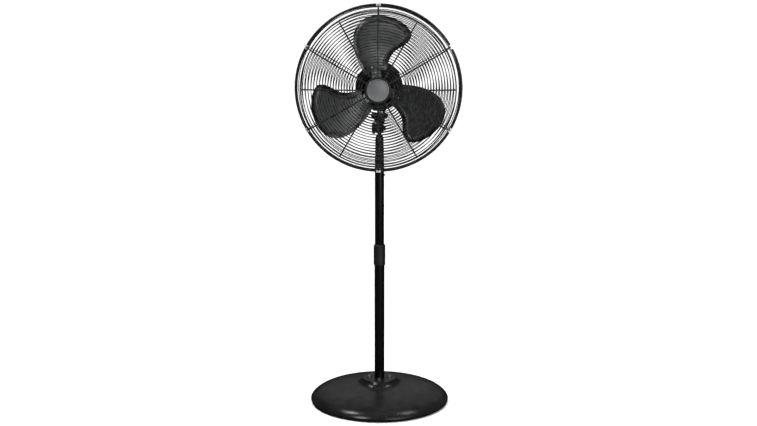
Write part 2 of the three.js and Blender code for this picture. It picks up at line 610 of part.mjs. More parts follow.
function makeGuards() {
  const at = [0, 0, AXIS];
  const ribWire = 2;
  const ringWire = 2;

  const rearRoute = [[78, -62], [200, -63], [248, -83], [GUARD_RIM, REAR_RIM_Y]];
  const rear = [
    ring(82, 21, -63, MOTOR_FRONT - 0.4, 'y', at),
    hoop(GUARD_RIM, RIM_WIRE, REAR_RIM_Y, 36),
    hoop(248, ringWire, -83, 30),
    hoop(200, ringWire, -63, 30),
    hoop(140, ringWire, -62.5, 18),
  ];
  for (let i = 0; i < 6; i += 1) rear.push(rib(rearRoute, 60 * i + 30, ribWire));
  piece('rear_guard', join(...rear), GUARD_BLACK);

  const longRoute = [[38, GUARD_FRONT_Y], [205, -195], [INNER_RING, INNER_RING_Y],
    [GUARD_RIM, FRONT_RIM_Y]];
  const front = [
    drum(42, GUARD_FRONT_Y - 1.5, GUARD_FRONT_Y + 1.5, 'y', at),
    hoop(GUARD_RIM, RIM_WIRE, FRONT_RIM_Y, 36),
    hoop(INNER_RING, ringWire, INNER_RING_Y, 36),
    hoop(130, ringWire, -199.5, 24),
  ];
  for (let i = 0; i < 6; i += 1) {
    front.push(rib(longRoute, 60 * i + 30, ribWire));
    front.push(rib(longRoute.slice(0, 3), 60 * i, ribWire));
  }
  piece('front_guard', join(...front), GUARD_BLACK);

  const plateBack = GUARD_FRONT_Y - 2;
  piece('badge_plate', turned([[0, plateBack], [45, plateBack], [45, plateBack - 3],
    [42, plateBack - 5], [0, plateBack - 5]], 'y', at), BLACK_PLASTIC);
  const discBack = plateBack - 5 - GAP;
  piece('badge_disc', turned([[0, discBack], [38, discBack], [38, discBack - 2],
    [35, discBack - 3.5], [0, discBack - 3.5]], 'y', at), SILVER_BADGE);

  const rimSpread = REAR_RIM_Y - FRONT_RIM_Y;
  const rimMiddle = (REAR_RIM_Y + FRONT_RIM_Y) / 2;
  // Six spring clips hold the two rims together; a notch lets the rib pass between the lips.
  for (let i = 0; i < 6; i += 1) {
    const outer = new THREE.BoxGeometry(10, rimSpread + 12, 15);
    const inner = new THREE.BoxGeometry(10, rimSpread + 6.4, 20);
    const notch = new THREE.BoxGeometry(10, rimSpread + 20, 6);
    outer.translate(GUARD_RIM + 0.5, rimMiddle, 0);
    inner.translate(GUARD_RIM - 2, rimMiddle, 0);
    notch.translate(GUARD_RIM - 2, rimMiddle, 0);
    const clip = [outer, inner, notch].map((box) => {
      box.rotateY(-radians(60 * i + 30));
      return solid(box.translate(...at));
    });
    piece(`guard_clip_${i + 1}`, cut(...clip), BRIGHT_STEEL);
  }
}

makeBase();
makeColumn();
makeTiltJoint();
makeMotor();
makeRotor();
makeGearbox();
makeRearCover();
makeBlades();
makeGuards();

export default fan;
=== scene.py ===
# %% [markdown]
# # A pedestal fan, built round its working frame
#
# The frame is the mechanical model of the fan: every tube, shaft and guard in its true
# place, grouped into bodies that move. This lesson dresses that frame. Each cell makes one
# piece or one finish, and says how the real thing is made and why it is built this way here.

# %% Load the frame
import bmesh
import bpy
import json
from math import atan2, ceil, cos, degrees, exp, hypot, pi, radians, sin, sqrt
from mathutils import Matrix, Vector


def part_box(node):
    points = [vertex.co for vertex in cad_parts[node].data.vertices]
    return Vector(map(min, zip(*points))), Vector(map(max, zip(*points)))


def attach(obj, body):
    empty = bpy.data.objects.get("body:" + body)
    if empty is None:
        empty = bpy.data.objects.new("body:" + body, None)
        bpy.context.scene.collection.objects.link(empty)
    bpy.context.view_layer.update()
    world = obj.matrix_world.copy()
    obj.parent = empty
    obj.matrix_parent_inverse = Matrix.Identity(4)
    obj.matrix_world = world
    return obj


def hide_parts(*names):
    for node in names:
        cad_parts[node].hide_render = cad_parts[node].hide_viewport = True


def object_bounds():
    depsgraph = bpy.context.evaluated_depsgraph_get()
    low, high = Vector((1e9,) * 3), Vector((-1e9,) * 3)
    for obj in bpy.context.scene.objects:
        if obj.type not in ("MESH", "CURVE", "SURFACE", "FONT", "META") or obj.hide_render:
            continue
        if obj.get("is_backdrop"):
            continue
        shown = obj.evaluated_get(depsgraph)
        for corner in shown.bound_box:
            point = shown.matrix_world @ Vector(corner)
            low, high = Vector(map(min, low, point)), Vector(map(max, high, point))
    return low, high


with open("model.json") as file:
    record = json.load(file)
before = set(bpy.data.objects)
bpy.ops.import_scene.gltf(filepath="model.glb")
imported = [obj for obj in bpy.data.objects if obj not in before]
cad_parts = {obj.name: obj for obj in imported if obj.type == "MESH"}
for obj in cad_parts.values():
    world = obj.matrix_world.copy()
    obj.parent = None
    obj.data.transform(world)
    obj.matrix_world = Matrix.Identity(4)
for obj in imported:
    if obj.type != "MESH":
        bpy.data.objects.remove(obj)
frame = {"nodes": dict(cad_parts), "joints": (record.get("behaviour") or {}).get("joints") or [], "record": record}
cad_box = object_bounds()
nodes = frame["nodes"]
MM = 0.001

# %% [markdown]
# ## Camera
#
# A fan in a catalogue is seen a little from above, so that the base shows as an ellipse. The
# camera stands in front of the fan, at about shoulder height and a hand's breadth to the
# right, and looks down by some ten degrees through a lens a little longer than normal, which
# keeps the round guard round.

# %% Camera
CAMERA_DISTANCE = 4.369
CAMERA_HEIGHT = 1.513
CAMERA_ASIDE = 0.11          # metres to the right
POLE_ASIDE = 0.046           # degrees between the column and the middle of the picture
CAMERA_TURN = degrees(atan2(CAMERA_ASIDE, CAMERA_DISTANCE)) + POLE_ASIDE
CAMERA_TILT = 10.61          # degrees below the horizontal
FOCAL_LENGTH = 59.45         # millimetres on a 36 mm wide sensor

camera_data = bpy.data.cameras.new("camera")
camera_data.sensor_width = 36
camera_data.lens = FOCAL_LENGTH
camera = bpy.data.objects.new("camera", camera_data)
camera.location = (CAMERA_ASIDE, -CAMERA_DISTANCE, CAMERA_HEIGHT)
camera.rotation_euler = (radians(90 - CAMERA_TILT), 0, radians(CAMERA_TURN))
bpy.context.scene.collection.objects.link(camera)
bpy.context.scene.camera = camera
print("camera", CAMERA_DISTANCE, "m away and", CAMERA_HEIGHT, "m up")

# %% [markdown]
# ## Studio
#
# Dark paint shows its form only by what it reflects. A pale, evenly lit floor gives a clean
# silhouette, but it is kept out of reflections, so that upright surfaces stay black.

# %% Floor
FLOOR_RADIUS, FLOOR_WHITE = 250.0, 0.93
floor_shape = bmesh.new()
bmesh.ops.create_circle(floor_shape, cap_ends=True, segments=64, radius=FLOOR_RADIUS)
floor_mesh = bpy.data.meshes.new("floor")
floor_shape.to_mesh(floor_mesh)
floor_shape.free()
floor = bpy.data.objects.new("floor", floor_mesh)
floor.visible_glossy = False
bpy.context.scene.collection.objects.link(floor)
floor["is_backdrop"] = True

floor_finish = bpy.data.materials.new("pale_floor")
floor_finish.use_nodes = True
floor_shader = floor_finish.node_tree.nodes["Principled BSDF"]
floor_shader.inputs["Base Color"].default_value = (FLOOR_WHITE, FLOOR_WHITE, FLOOR_WHITE, 1)
floor_shader.inputs["Roughness"].default_value = 0.9
floor_shader.inputs["Specular IOR Level"].default_value = 0.1
floor.data.materials.append(floor_finish)
print("floor of radius", FLOOR_RADIUS, "m")

# %% [markdown]
# The surround glows behind the fan, a little above the floor, where the dome of the base
# mirrors it, and is dim everywhere else. Seen straight through the lens it is plain white.

# %% Surround
FRONT_GLOW, BACK_GLOW = 0.018, 0.27
BRIGHT_WAY, BRIGHT_FROM = (0.0, 0.8, 0.6), 0.84      # a direction, and the cosine it fades at
world = bpy.data.worlds.new("studio")
world.use_nodes = True
sky_tree = world.node_tree
background = sky_tree.nodes["Background"]
background.inputs["Color"].default_value = (1, 1, 1, 1)
looking = sky_tree.nodes.new("ShaderNodeTexCoord").outputs["Generated"]
facing = sky_tree.nodes.new("ShaderNodeVectorMath")
facing.operation = "DOT_PRODUCT"
facing.inputs[1].default_value = BRIGHT_WAY
sky_tree.links.new(looking, facing.inputs[0])
glow = sky_tree.nodes.new("ShaderNodeMapRange")
glow.inputs["From Min"].default_value = BRIGHT_FROM
glow.inputs["From Max"].default_value = 1.0
glow.inputs["To Min"].default_value = FRONT_GLOW
glow.inputs["To Max"].default_value = BACK_GLOW
sky_tree.links.new(facing.outputs["Value"], glow.inputs["Value"])
through_lens = sky_tree.nodes.new("ShaderNodeLightPath").outputs["Is Camera Ray"]
seen = sky_tree.nodes.new("ShaderNodeMix")
seen.inputs["B"].default_value = 1.0
sky_tree.links.new(through_lens, seen.inputs["Factor"])
sky_tree.links.new(glow.outputs["Result"], seen.inputs["A"])
sky_tree.links.new(seen.outputs["Result"], background.inputs["Strength"])
bpy.context.scene.world = world
bpy.context.scene.view_settings.view_transform = "Standard"
print("surround from", FRONT_GLOW, "to", BACK_GLOW)

# %% [markdown]
# One broad light from above whitens the floor. It is hidden from reflections, because a
# mirror of it would wash out the base. A soft box in front and to the right lights the
# blades, one high on the left fills in, and two strips overhead draw the two highlights on
# the base's shoulder.

# %% Lights
TOP_ENERGY, TOP_SPREAD, TOP_LEAN = 3.9, 50, (-8, -6)
SOFT_LIGHTS = {                       # place, aim, size and power
    "front_softbox": ((1.9, -3.7, 1.7), (0, 0, 1.15), (1.4, 1.6), 120),
    "high_left_softbox": ((-1.6, -2.4, 2.9), (0, 0, 1.0), (1.0, 1.0), 26),
    "overhead_left_strip": ((-1.15, -0.1, 2.25), (0, -0.2, 0), (0.35, 0.5), 8),
    "overhead_right_strip": ((1.15, -0.1, 2.25), (0, -0.2, 0), (0.35, 0.5), 5),
}


def soft_light(name, place, aim, size, power):
    data = bpy.data.lights.new(name, "AREA")
    data.shape = "RECTANGLE"
    data.size, data.size_y = size
    data.energy = power
    light = bpy.data.objects.new(name, data)
    light.location = place
    direction = Vector(aim) - Vector(place)
    light.rotation_euler = direction.to_track_quat("-Z", "Y").to_euler()
    bpy.context.scene.collection.objects.link(light)


top_data = bpy.data.lights.new("top_light", "SUN")
top_data.energy = TOP_ENERGY
top_data.angle = radians(TOP_SPREAD)
top_light = bpy.data.objects.new("top_light", top_data)
top_light.rotation_euler = (radians(TOP_LEAN[0]), radians(TOP_LEAN[1]), 0)
top_light.visible_glossy = False
bpy.context.scene.collection.objects.link(top_light)
for light_name, settings in SOFT_LIGHTS.items():
    soft_light(light_name, *settings)
print("lights:", 1 + len(SOFT_LIGHTS))

# %% [markdown]
# ## Shared effects
#
# Real surfaces are never one flat colour. Four small node groups hold the effects that many
# finishes share: the fine ripple of sprayed or baked paint, the pale wear on edges, the dust
# that settles on what faces up, and the fine lines left by turning or brushing. Each is
# built once, with named inputs, and each finish sets its own values.

# %% Tools for node groups
def new_group(name, inputs, outputs):
    group = bpy.data.node_groups.new(name, "ShaderNodeTree")
    for label, kind, value in inputs:
        socket = group.interface.new_socket(label, in_out="INPUT", socket_type=kind)
        if value is not None:
            socket.default_value = value
    for label, kind in outputs:
        group.interface.new_socket(label, in_out="OUTPUT", socket_type=kind)
    start = group.nodes.new("NodeGroupInput")
    end = group.nodes.new("NodeGroupOutput")
    return group, start, end


def math_node(tree, operation, first, second=None, clamp=False):
    node = tree.nodes.new("ShaderNodeMath")
    node.operation = operation
    node.use_clamp = clamp
    for socket, value in zip(node.inputs, (first, second)):
        if value is None:
            continue
        if isinstance(value, (int, float)):
            socket.default_value = value
        else:
            tree.links.new(value, socket)
    return node.outputs[0]


def noise_node(tree, vector, scale, detail=3.0, roughness=0.5):
    node = tree.nodes.new("ShaderNodeTexNoise")
    node.inputs["Detail"].default_value = detail
    node.inputs["Roughness"].default_value = roughness
    tree.links.new(vector, node.inputs["Vector"])
    if isinstance(scale, (int, float)):
        node.inputs["Scale"].default_value = scale
    else:
        tree.links.new(scale, node.inputs["Scale"])
    return node.outputs["Fac"]


def remap(tree, value, low, high):
    node = tree.nodes.new("ShaderNodeMapRange")
    tree.links.new(value, node.inputs["Value"])
    node.inputs["From Min"].default_value = low
    node.inputs["From Max"].default_value = high
    return node.outputs["Result"]


VECTOR, VALUE = "NodeSocketVector", "NodeSocketFloat"

# %% Skin: paint ripple and slow colour drift
skin_group, start, end = new_group(
    "Skin",
    [("Vector", VECTOR, None), ("Fine Scale", VALUE, 900.0), ("Broad Scale", VALUE, 9.0)],
    [("Height", VALUE), ("Drift", VALUE)],
)
fine = noise_node(skin_group, start.outputs["Vector"], start.outputs["Fine Scale"], 2.0)
broad = noise_node(skin_group, start.outputs["Vector"], start.outputs["Broad Scale"], 4.0)
skin_group.links.new(fine, end.inputs["Height"])
skin_group.links.new(remap(skin_group, broad, 0.3, 0.7), end.inputs["Drift"])
print("group:", skin_group.name)

# %% Edge wear: convex edges lose their paint in patches
wear_group, start, end = new_group(
    "Edge wear",
    [("Vector", VECTOR, None), ("Amount", VALUE, 0.3)],
    [("Mask", VALUE)],
)
geometry = wear_group.nodes.new("ShaderNodeNewGeometry")
edges = remap(wear_group, geometry.outputs["Pointiness"], 0.52, 0.62)
patches = remap(wear_group, noise_node(wear_group, start.outputs["Vector"], 70.0), 0.42, 0.62)
worn = math_node(wear_group, "MULTIPLY", edges, patches)
worn = math_node(wear_group, "MULTIPLY", worn, start.outputs["Amount"], clamp=True)
wear_group.links.new(worn, end.inputs["Mask"])
print("group:", wear_group.name)

# %% Dust: settles on what faces up
dust_group, start, end = new_group(
    "Dust",
    [("Vector", VECTOR, None), ("Amount", VALUE, 0.2)],
    [("Mask", VALUE)],
)
geometry = dust_group.nodes.new("ShaderNodeNewGeometry")
split = dust_group.nodes.new("ShaderNodeSeparateXYZ")
dust_group.links.new(geometry.outputs["Normal"], split.inputs["Vector"])
upward = remap(dust_group, split.outputs["Z"], 0.1, 1.0)
drifts = remap(dust_group, noise_node(dust_group, start.outputs["Vector"], 28.0, 6.0), 0.3, 0.75)
dusty = math_node(dust_group, "MULTIPLY", upward, drifts)
dusty = math_node(dust_group, "MULTIPLY", dusty, start.outputs["Amount"], clamp=True)
dust_group.links.new(dusty, end.inputs["Mask"])
print("group:", dust_group.name)

# %% Fine lines: turned or brushed metal
lines_group, start, end = new_group(
    "Fine lines",
    [("Vector", VECTOR, None), ("Stretch", VECTOR, (1.0, 1.0, 1.0)), ("Scale", VALUE, 400.0)],
    [("Height", VALUE)],
)
stretched = lines_group.nodes.new("ShaderNodeVectorMath")
stretched.operation = "MULTIPLY"
lines_group.links.new(start.outputs["Vector"], stretched.inputs[0])
lines_group.links.new(start.outputs["Stretch"], stretched.inputs[1])
lines = noise_node(lines_group, stretched.outputs["Vector"], start.outputs["Scale"], 4.0)
lines_group.links.new(lines, end.inputs["Height"])
print("group:", lines_group.name)

# %% [markdown]
# ## Finishes
#
# One function builds each finish from the same layers, in the order a real surface gets
# them: the base colour with a slow drift, the bare metal that shows where edges wear, and
# dust on top. Roughness follows the drift, so highlights break up a little, and the ripple
# or the fine lines go into a bump.

# %% The finish builder
def place_group(tree, group, vector, **values):
    node = tree.nodes.new("ShaderNodeGroup")
    node.node_tree = group
    tree.links.new(vector, node.inputs["Vector"])
    for label, value in values.items():
        node.inputs[label.replace("_", " ")].default_value = value
    return node


def mix_colour(tree, mask, first, second):
    node = tree.nodes.new("ShaderNodeMix")
    node.data_type = "RGBA"
    tree.links.new(mask, node.inputs["Factor"])
    for socket, value in ((node.inputs["A"], first), (node.inputs["B"], second)):
        if isinstance(value, tuple):
            socket.default_value = (*value, 1.0)
        else:
            tree.links.new(value, socket)
    return node.outputs["Result"]


DUST_COLOUR = (0.33, 0.31, 0.28)
BARE_STEEL = (0.45, 0.45, 0.46)


FINISHES = {}


def make_finish(name, dark, light, rough, metallic=0.0, ripple=0.1, fine_scale=900.0,
                wear=0.0, dust=0.1, coat=0.0, stretch=None, line_scale=400.0, specular=0.5):
    material = bpy.data.materials.new(name)
    material.use_nodes = True
    tree = material.node_tree
    shader = tree.nodes["Principled BSDF"]
    place = tree.nodes.new("ShaderNodeTexCoord").outputs["Object"]
    skin = place_group(tree, skin_group, place, Fine_Scale=fine_scale, Broad_Scale=11.0)
    colour = mix_colour(tree, skin.outputs["Drift"], dark, light)
    if wear:
        worn_edges = place_group(tree, wear_group, place, Amount=wear)
        colour = mix_colour(tree, worn_edges.outputs["Mask"], colour, BARE_STEEL)
    if dust:
        dusting = place_group(tree, dust_group, place, Amount=dust)
        colour = mix_colour(tree, dusting.outputs["Mask"], colour, DUST_COLOUR)
    tree.links.new(colour, shader.inputs["Base Color"])
    roughness = tree.nodes.new("ShaderNodeMapRange")
    tree.links.new(skin.outputs["Drift"], roughness.inputs["Value"])
    roughness.inputs["To Min"].default_value = rough[0]
    roughness.inputs["To Max"].default_value = rough[1]
    tree.links.new(roughness.outputs["Result"], shader.inputs["Roughness"])
    height = skin.outputs["Height"]
    if stretch:
        drawn = place_group(tree, lines_group, place, Stretch=stretch, Scale=line_scale)
        height = drawn.outputs["Height"]
    bump = tree.nodes.new("ShaderNodeBump")
    bump.inputs["Strength"].default_value = ripple
    bump.inputs["Distance"].default_value = 0.0004
    tree.links.new(height, bump.inputs["Height"])
    tree.links.new(bump.outputs["Normal"], shader.inputs["Normal"])
    shader.inputs["Metallic"].default_value = metallic
    shader.inputs["Coat Weight"].default_value = coat
    shader.inputs["Coat Roughness"].default_value = 0.25
    shader.inputs["Specular IOR Level"].default_value = specular
    FINISHES[name] = material


# %% [markdown]
# The fan has few finishes. The base, the castings and the motor wear a satin black powder
# coat with a faint orange peel; the column and the wires are a smoother, glossier black. The
# blades are a dark grey metallic paint. Bright zinc is on the rim clips, plain zinc on the
# base's bolts, the screws and the small working parts, and the grips are grained black plastic.

# %% The finishes
make_finish("satin_black_paint", (0.0042, 0.0043, 0.0045), (0.007, 0.0072, 0.0076), (0.20, 0.29),
            ripple=0.18, fine_scale=420.0, dust=0.03, specular=0.45)
make_finish("gloss_black_paint", (0.0016, 0.0016, 0.0018), (0.0028, 0.0028, 0.003), (0.24, 0.34),
            ripple=0.12, fine_scale=500.0, wear=0.1, dust=0.02, specular=0.18)
make_finish("guard_wire", (0.0035, 0.0035, 0.0038), (0.006, 0.006, 0.0064), (0.28, 0.4),
            ripple=0.1, fine_scale=700.0, wear=0.1, dust=0.05, specular=0.2)
make_finish("blade_metal", (0.044, 0.048, 0.045), (0.066, 0.071, 0.067), (0.36, 0.46),
            metallic=0.7, ripple=0.12, fine_scale=800.0, wear=0.2, dust=0.06, coat=0.35)
make_finish("badge_silver", (0.20, 0.205, 0.21), (0.27, 0.275, 0.28), (0.34, 0.46),
            metallic=0.9, ripple=0.35, dust=0.03, stretch=(1.0, 1.0, 0.06), line_scale=700.0)
make_finish("bright_steel", (0.80, 0.81, 0.82), (0.90, 0.90, 0.91), (0.24, 0.36),
            metallic=0.5, ripple=0.06, dust=0.04)
make_finish("plain_steel", (0.34, 0.35, 0.36), (0.46, 0.47, 0.48), (0.3, 0.45),
            metallic=1.0, ripple=0.2, dust=0.08, stretch=(1.0, 0.08, 1.0), line_scale=500.0)
make_finish("cast_iron", (0.030, 0.031, 0.033), (0.055, 0.055, 0.058), (0.6, 0.8),
            metallic=0.3, ripple=0.9, fine_scale=260.0, wear=0.2, dust=0.1)
make_finish("black_plastic", (0.004, 0.004, 0.0044), (0.007, 0.007, 0.0074), (0.42, 0.55),
            ripple=0.45, fine_scale=1400.0, wear=0.05, dust=0.03, specular=0.35)
make_finish("nylon", (0.60, 0.58, 0.51), (0.72, 0.70, 0.63), (0.35, 0.5),
            ripple=0.15, fine_scale=800.0, dust=0.05)
make_finish("black_rubber", (0.012, 0.012, 0.012), (0.020, 0.020, 0.020), (0.75, 0.9),
            ripple=0.5, fine_scale=900.0, dust=0.25, specular=0.3)
make_finish("copper_wire", (0.40, 0.15, 0.06), (0.56, 0.24, 0.10), (0.25, 0.4),
            metallic=0.9, ripple=0.9, dust=0.02, stretch=(1.0, 0.05, 1.0), line_scale=900.0,
            coat=0.4)
print("finishes:", len(FINISHES))

# %% [markdown]
# ## The pieces that stay as they are
#
# Inside the closed housings, the frame's own solids are already right: the stator, the
# windings, the gears and the bearings. They only need their finish, which the record names
# for each of them.

# %% Dress every node of the frame
slot_of = {entry["node"]: entry["material_slot"] for entry in frame["record"]["subparts"]}


def dress(thing, finish_name):
    mesh = thing.data
    if mesh.materials:
        for i in range(len(mesh.materials)):
            mesh.materials[i] = FINISHES[finish_name]
    else:
        mesh.materials.append(FINISHES[finish_name])


for node_name, node in nodes.items():
    dress(node, slot_of[node_name])
print("dressed", len(nodes), "nodes")

# %% [markdown]
# ## Tools for making pieces
#
# Most of a fan is turned, drawn or pressed. Turned pieces come from a half outline spun
# round an axis, with every corner of the outline rounded by a small arc, because no real
# edge is sharp. Cast and milled shapes are joined and cut as solids and then given a
# narrow bevel. Each finished piece rides on its body and hides the plain solid it stands for.

# %% Outline tools
def arc_corner(before, corner, after, radius, steps=5):
    """The points of a small arc that rounds one corner of an outline."""
    inward = (Vector(before) - Vector(corner)).normalized()
    outward = (Vector(after) - Vector(corner)).normalized()
    half = inward.angle(outward) / 2
    if half > radians(88):
        return [tuple(corner)]
    limit = 0.45 * min((Vector(before) - Vector(corner)).length,
                       (Vector(after) - Vector(corner)).length)
    back = min(radius / max(sin(half) / cos(half), 1e-6), limit)
    first = Vector(corner) + inward * back
    last = Vector(corner) + outward * back
    points = []
    for i in range(steps + 1):
        t = i / steps
        spot = first.lerp(Vector(corner), t).lerp(Vector(corner).lerp(last, t), t)
        points.append(tuple(spot))
    return points


def rounded(outline, closed=False):
    """An outline of (radius, along[, corner radius]) points, with its corners rounded."""
    points = []
    count = len(outline)
    for i, entry in enumerate(outline):
        corner = Vector(entry[:2])
        fillet = entry[2] if len(entry) > 2 else 0.0
        if fillet and (closed or 0 < i < count - 1):
            before = Vector(outline[i - 1][:2])
            after = Vector(outline[(i + 1) % count][:2])
            points += arc_corner(before, corner, after, fillet)
        else:
            points.append(tuple(corner))
    return points


def smooth_line(points, steps=8):
    """A smooth curve through every point (Catmull-Rom)."""
    places = [Vector(p) for p in points]
    places = [places[0] * 2 - places[1], *places, places[-1] * 2 - places[-2]]
    line = []
    for i in range(1, len(places) - 2):
        a, b, c, d = places[i - 1:i + 3]
        for k in range(steps):
            t = k / steps
            line.append(tuple(0.5 * (2 * b + (c - a) * t + (2 * a - 5 * b + 4 * c - d) * t * t
                                     + (3 * b - a - 3 * c + d) * t ** 3)))
    line.append(tuple(places[-2]))
    return line


# %% Mesh tools
def axis_matrix(axis, at):
    """Turns a shape built along +Z to lie along the named axis, and moves it there."""
    turns = {"z": Matrix.Identity(4), "y": Matrix.Rotation(radians(-90), 4, "X"),
             "x": Matrix.Rotation(radians(90), 4, "Y")}
    return Matrix.Translation(at) @ turns[axis]


def add_turned(bm, outline, axis="z", at=(0, 0, 0), steps=64, closed=True, wave=None):
    """Spins an outline into a closed skin. A closed outline is a ring; otherwise the
    outline starts and ends on the axis. wave(turn, along) may swell or shrink the radius."""
    rings = []
    for radius, along in outline:
        if radius < 1e-7:
            rings.append([bm.verts.new((0, 0, along))])
            continue
        ring = []
        for k in range(steps):
            turn = 2 * pi * k / steps
            reach = radius + (wave(turn, along) if wave else 0.0)
            ring.append(bm.verts.new((reach * cos(turn), reach * sin(turn), along)))
        rings.append(ring)
    pairs = list(zip(rings, rings[1:]))
    if closed:
        pairs.append((rings[-1], rings[0]))
    made = [v for ring in rings for v in ring]
    for low, high in pairs:
        for k in range(steps):
            n = (k + 1) % steps
            if len(low) == 1 and len(high) == 1:
                break
            if len(low) == 1:
                bm.faces.new((low[0], high[n], high[k]))
            elif len(high) == 1:
                bm.faces.new((low[k], low[n], high[0]))
            else:
                bm.faces.new((low[k], low[n], high[n], high[k]))
    bmesh.ops.transform(bm, matrix=axis_matrix(axis, at), verts=made)
    return made


def add_prism(bm, corners, low, high, matrix=Matrix.Identity(4)):
    """Raises a flat outline into a solid between two heights."""
    bottom = [bm.verts.new((x, y, low)) for x, y in corners]
    top = [bm.verts.new((x, y, high)) for x, y in corners]
    bm.faces.new(list(reversed(bottom)))
    bm.faces.new(top)
    for i in range(len(corners)):
        n = (i + 1) % len(corners)
        bm.faces.new((bottom[i], bottom[n], top[n], top[i]))
    bmesh.ops.transform(bm, matrix=matrix, verts=bottom + top)
    return bottom + top


def add_block(bm, x, y, z):
    corners = [(x[0], y[0]), (x[1], y[0]), (x[1], y[1]), (x[0], y[1])]
    return add_prism(bm, corners, z[0], z[1])


def regular(sides, radius, start=0.0):
    return [(radius * cos(start + 2 * pi * i / sides), radius * sin(start + 2 * pi * i / sides))
            for i in range(sides)]


def add_hoop(bm, radius, wire, axis_point, steps=128, sides=8):
    """A ring of round wire, lying square to the Y axis."""
    section = [(radius + wire * cos(2 * pi * i / sides), wire * sin(2 * pi * i / sides))
               for i in range(sides)]
    add_turned(bm, section, "y", axis_point, steps)


def add_wire(bm, points, wire, sides=8):
    """A round wire along a line of points."""
    places = [Vector(p) for p in points]
    side = None
    rings = []
    for i, spot in enumerate(places):
        ahead = places[min(i + 1, len(places) - 1)] - places[max(i - 1, 0)]
        ahead.normalize()
        if side is None:
            side = ahead.orthogonal().normalized()
        side = (side - ahead * side.dot(ahead)).normalized()
        up = ahead.cross(side)
        rings.append([bm.verts.new(spot + (side * cos(2 * pi * k / sides)
                                           + up * sin(2 * pi * k / sides)) * wire)
                      for k in range(sides)])
    for low, high in zip(rings, rings[1:]):
        for k in range(sides):
            n = (k + 1) % sides
            bm.faces.new((low[k], low[n], high[n], high[k]))
    bm.faces.new(list(reversed(rings[0])))
    bm.faces.new(rings[-1])


# %% Piece tools
def as_object(name, bm, smooth_angle=32):
    bmesh.ops.recalc_face_normals(bm, faces=bm.faces)
    mesh = bpy.data.meshes.new(name)
    bm.to_mesh(mesh)
    bm.free()
    soften(mesh, smooth_angle)
    thing = bpy.data.objects.new(name, mesh)
    bpy.context.scene.collection.objects.link(thing)
    return thing


def soften(mesh, smooth_angle):
    mesh.polygons.foreach_set("use_smooth", [True] * len(mesh.polygons))
    mesh.set_sharp_from_angle(angle=radians(smooth_angle))


def settle(thing, smooth_angle=32):
    """Turns the piece's modifiers into plain mesh."""
    graph = bpy.context.evaluated_depsgraph_get()
    mesh = bpy.data.meshes.new_from_object(thing.evaluated_get(graph))
    thing.modifiers.clear()
    thing.data = mesh
    soften(mesh, smooth_angle)


def shaped(thing, tools, operation):
    """Joins tools to a piece, or cuts them out of it."""
    for tool in tools:
        change = thing.modifiers.new("shape", "BOOLEAN")
        change.operation = operation
        change.solver = "EXACT"
        change.object = tool
        settle(thing)
        bpy.data.objects.remove(tool)
    return thing


def eased(thing, width, segments=2):
    """Rounds the sharp edges of a cast or milled piece."""
    bevel = thing.modifiers.new("edges", "BEVEL")
    bevel.width = width
    bevel.segments = segments
    bevel.limit_method = "ANGLE"
    bevel.angle_limit = radians(38)
    settle(thing, 40)
    return flat_faces(thing)


def flat_faces(thing):
    """Lets the large faces of a cut or rounded piece set its shading, so that they look flat."""
    weigh = thing.modifiers.new("flat", "WEIGHTED_NORMAL")
    weigh.keep_sharp = True
    graph = bpy.context.evaluated_depsgraph_get()
    mesh = bpy.data.meshes.new_from_object(thing.evaluated_get(graph))
    thing.modifiers.clear()
    thing.data = mesh
    return thing


def solid_of(make, *args, **values):
    """A loose solid, made by one of the mesh tools above, for joining and cutting."""
    bm = bmesh.new()
    make(bm, *args, **values)
    return as_object("tool", bm)


def drum(radius, low, high, axis="z", at=(0, 0, 0), steps=48):
    outline = [(0, low), (radius, low), (radius, high), (0, high)]
    return solid_of(add_turned, outline, axis, at, steps, False)


def block(x, y, z):
    return solid_of(add_block, x, y, z)


def finished(thing, body, finish_name, *replaced):
    """Gives a piece its finish, its body and the plain solids it stands for."""
    dress(thing, finish_name)
    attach(thing, body)
    if replaced:
        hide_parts(*replaced)
    return thing


def turned_solid(name, outline, axis="z", at=(0, 0, 0), steps=64, closed=False):
    """A turned blank in millimetres, for cutting and joining."""
    blank = solid_of(add_turned, rounded(millimetres(outline), closed), axis, at, steps, closed)
    blank.name = name
    return blank


def joint_place(joint_name):
    return next(j for j in frame["joints"] if j["name"] == joint_name)["pos_m"]


def millimetres(outline):
    return [tuple(value * MM for value in entry) for entry in outline]


def turned_piece(name, outline, body, finish_name, replaced, axis="z", at=(0, 0, 0), steps=64,
                 closed=True, wave=None):
    bm = bmesh.new()
    add_turned(bm, rounded(millimetres(outline), closed), axis, at, steps, closed, wave)
    return finished(as_object(name, bm), body, finish_name, *replaced)


# %% [markdown]
# ## The base
#
# The base is a sheet-steel dome pressed over a cast weight. A flat crown in the middle
# takes the column; a small concave foot leads from the crown to the broad dome, which rolls
# over a rounded shoulder to a turned-in lip. It is one outline spun round the column.

# %% Base shell
crown_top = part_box("base_cover")[1].z / MM
base_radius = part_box("base_cover")[1].x / MM
lip_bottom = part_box("base_cover")[0].z / MM
pole_hole = 18.6
shell_wall = 2.0

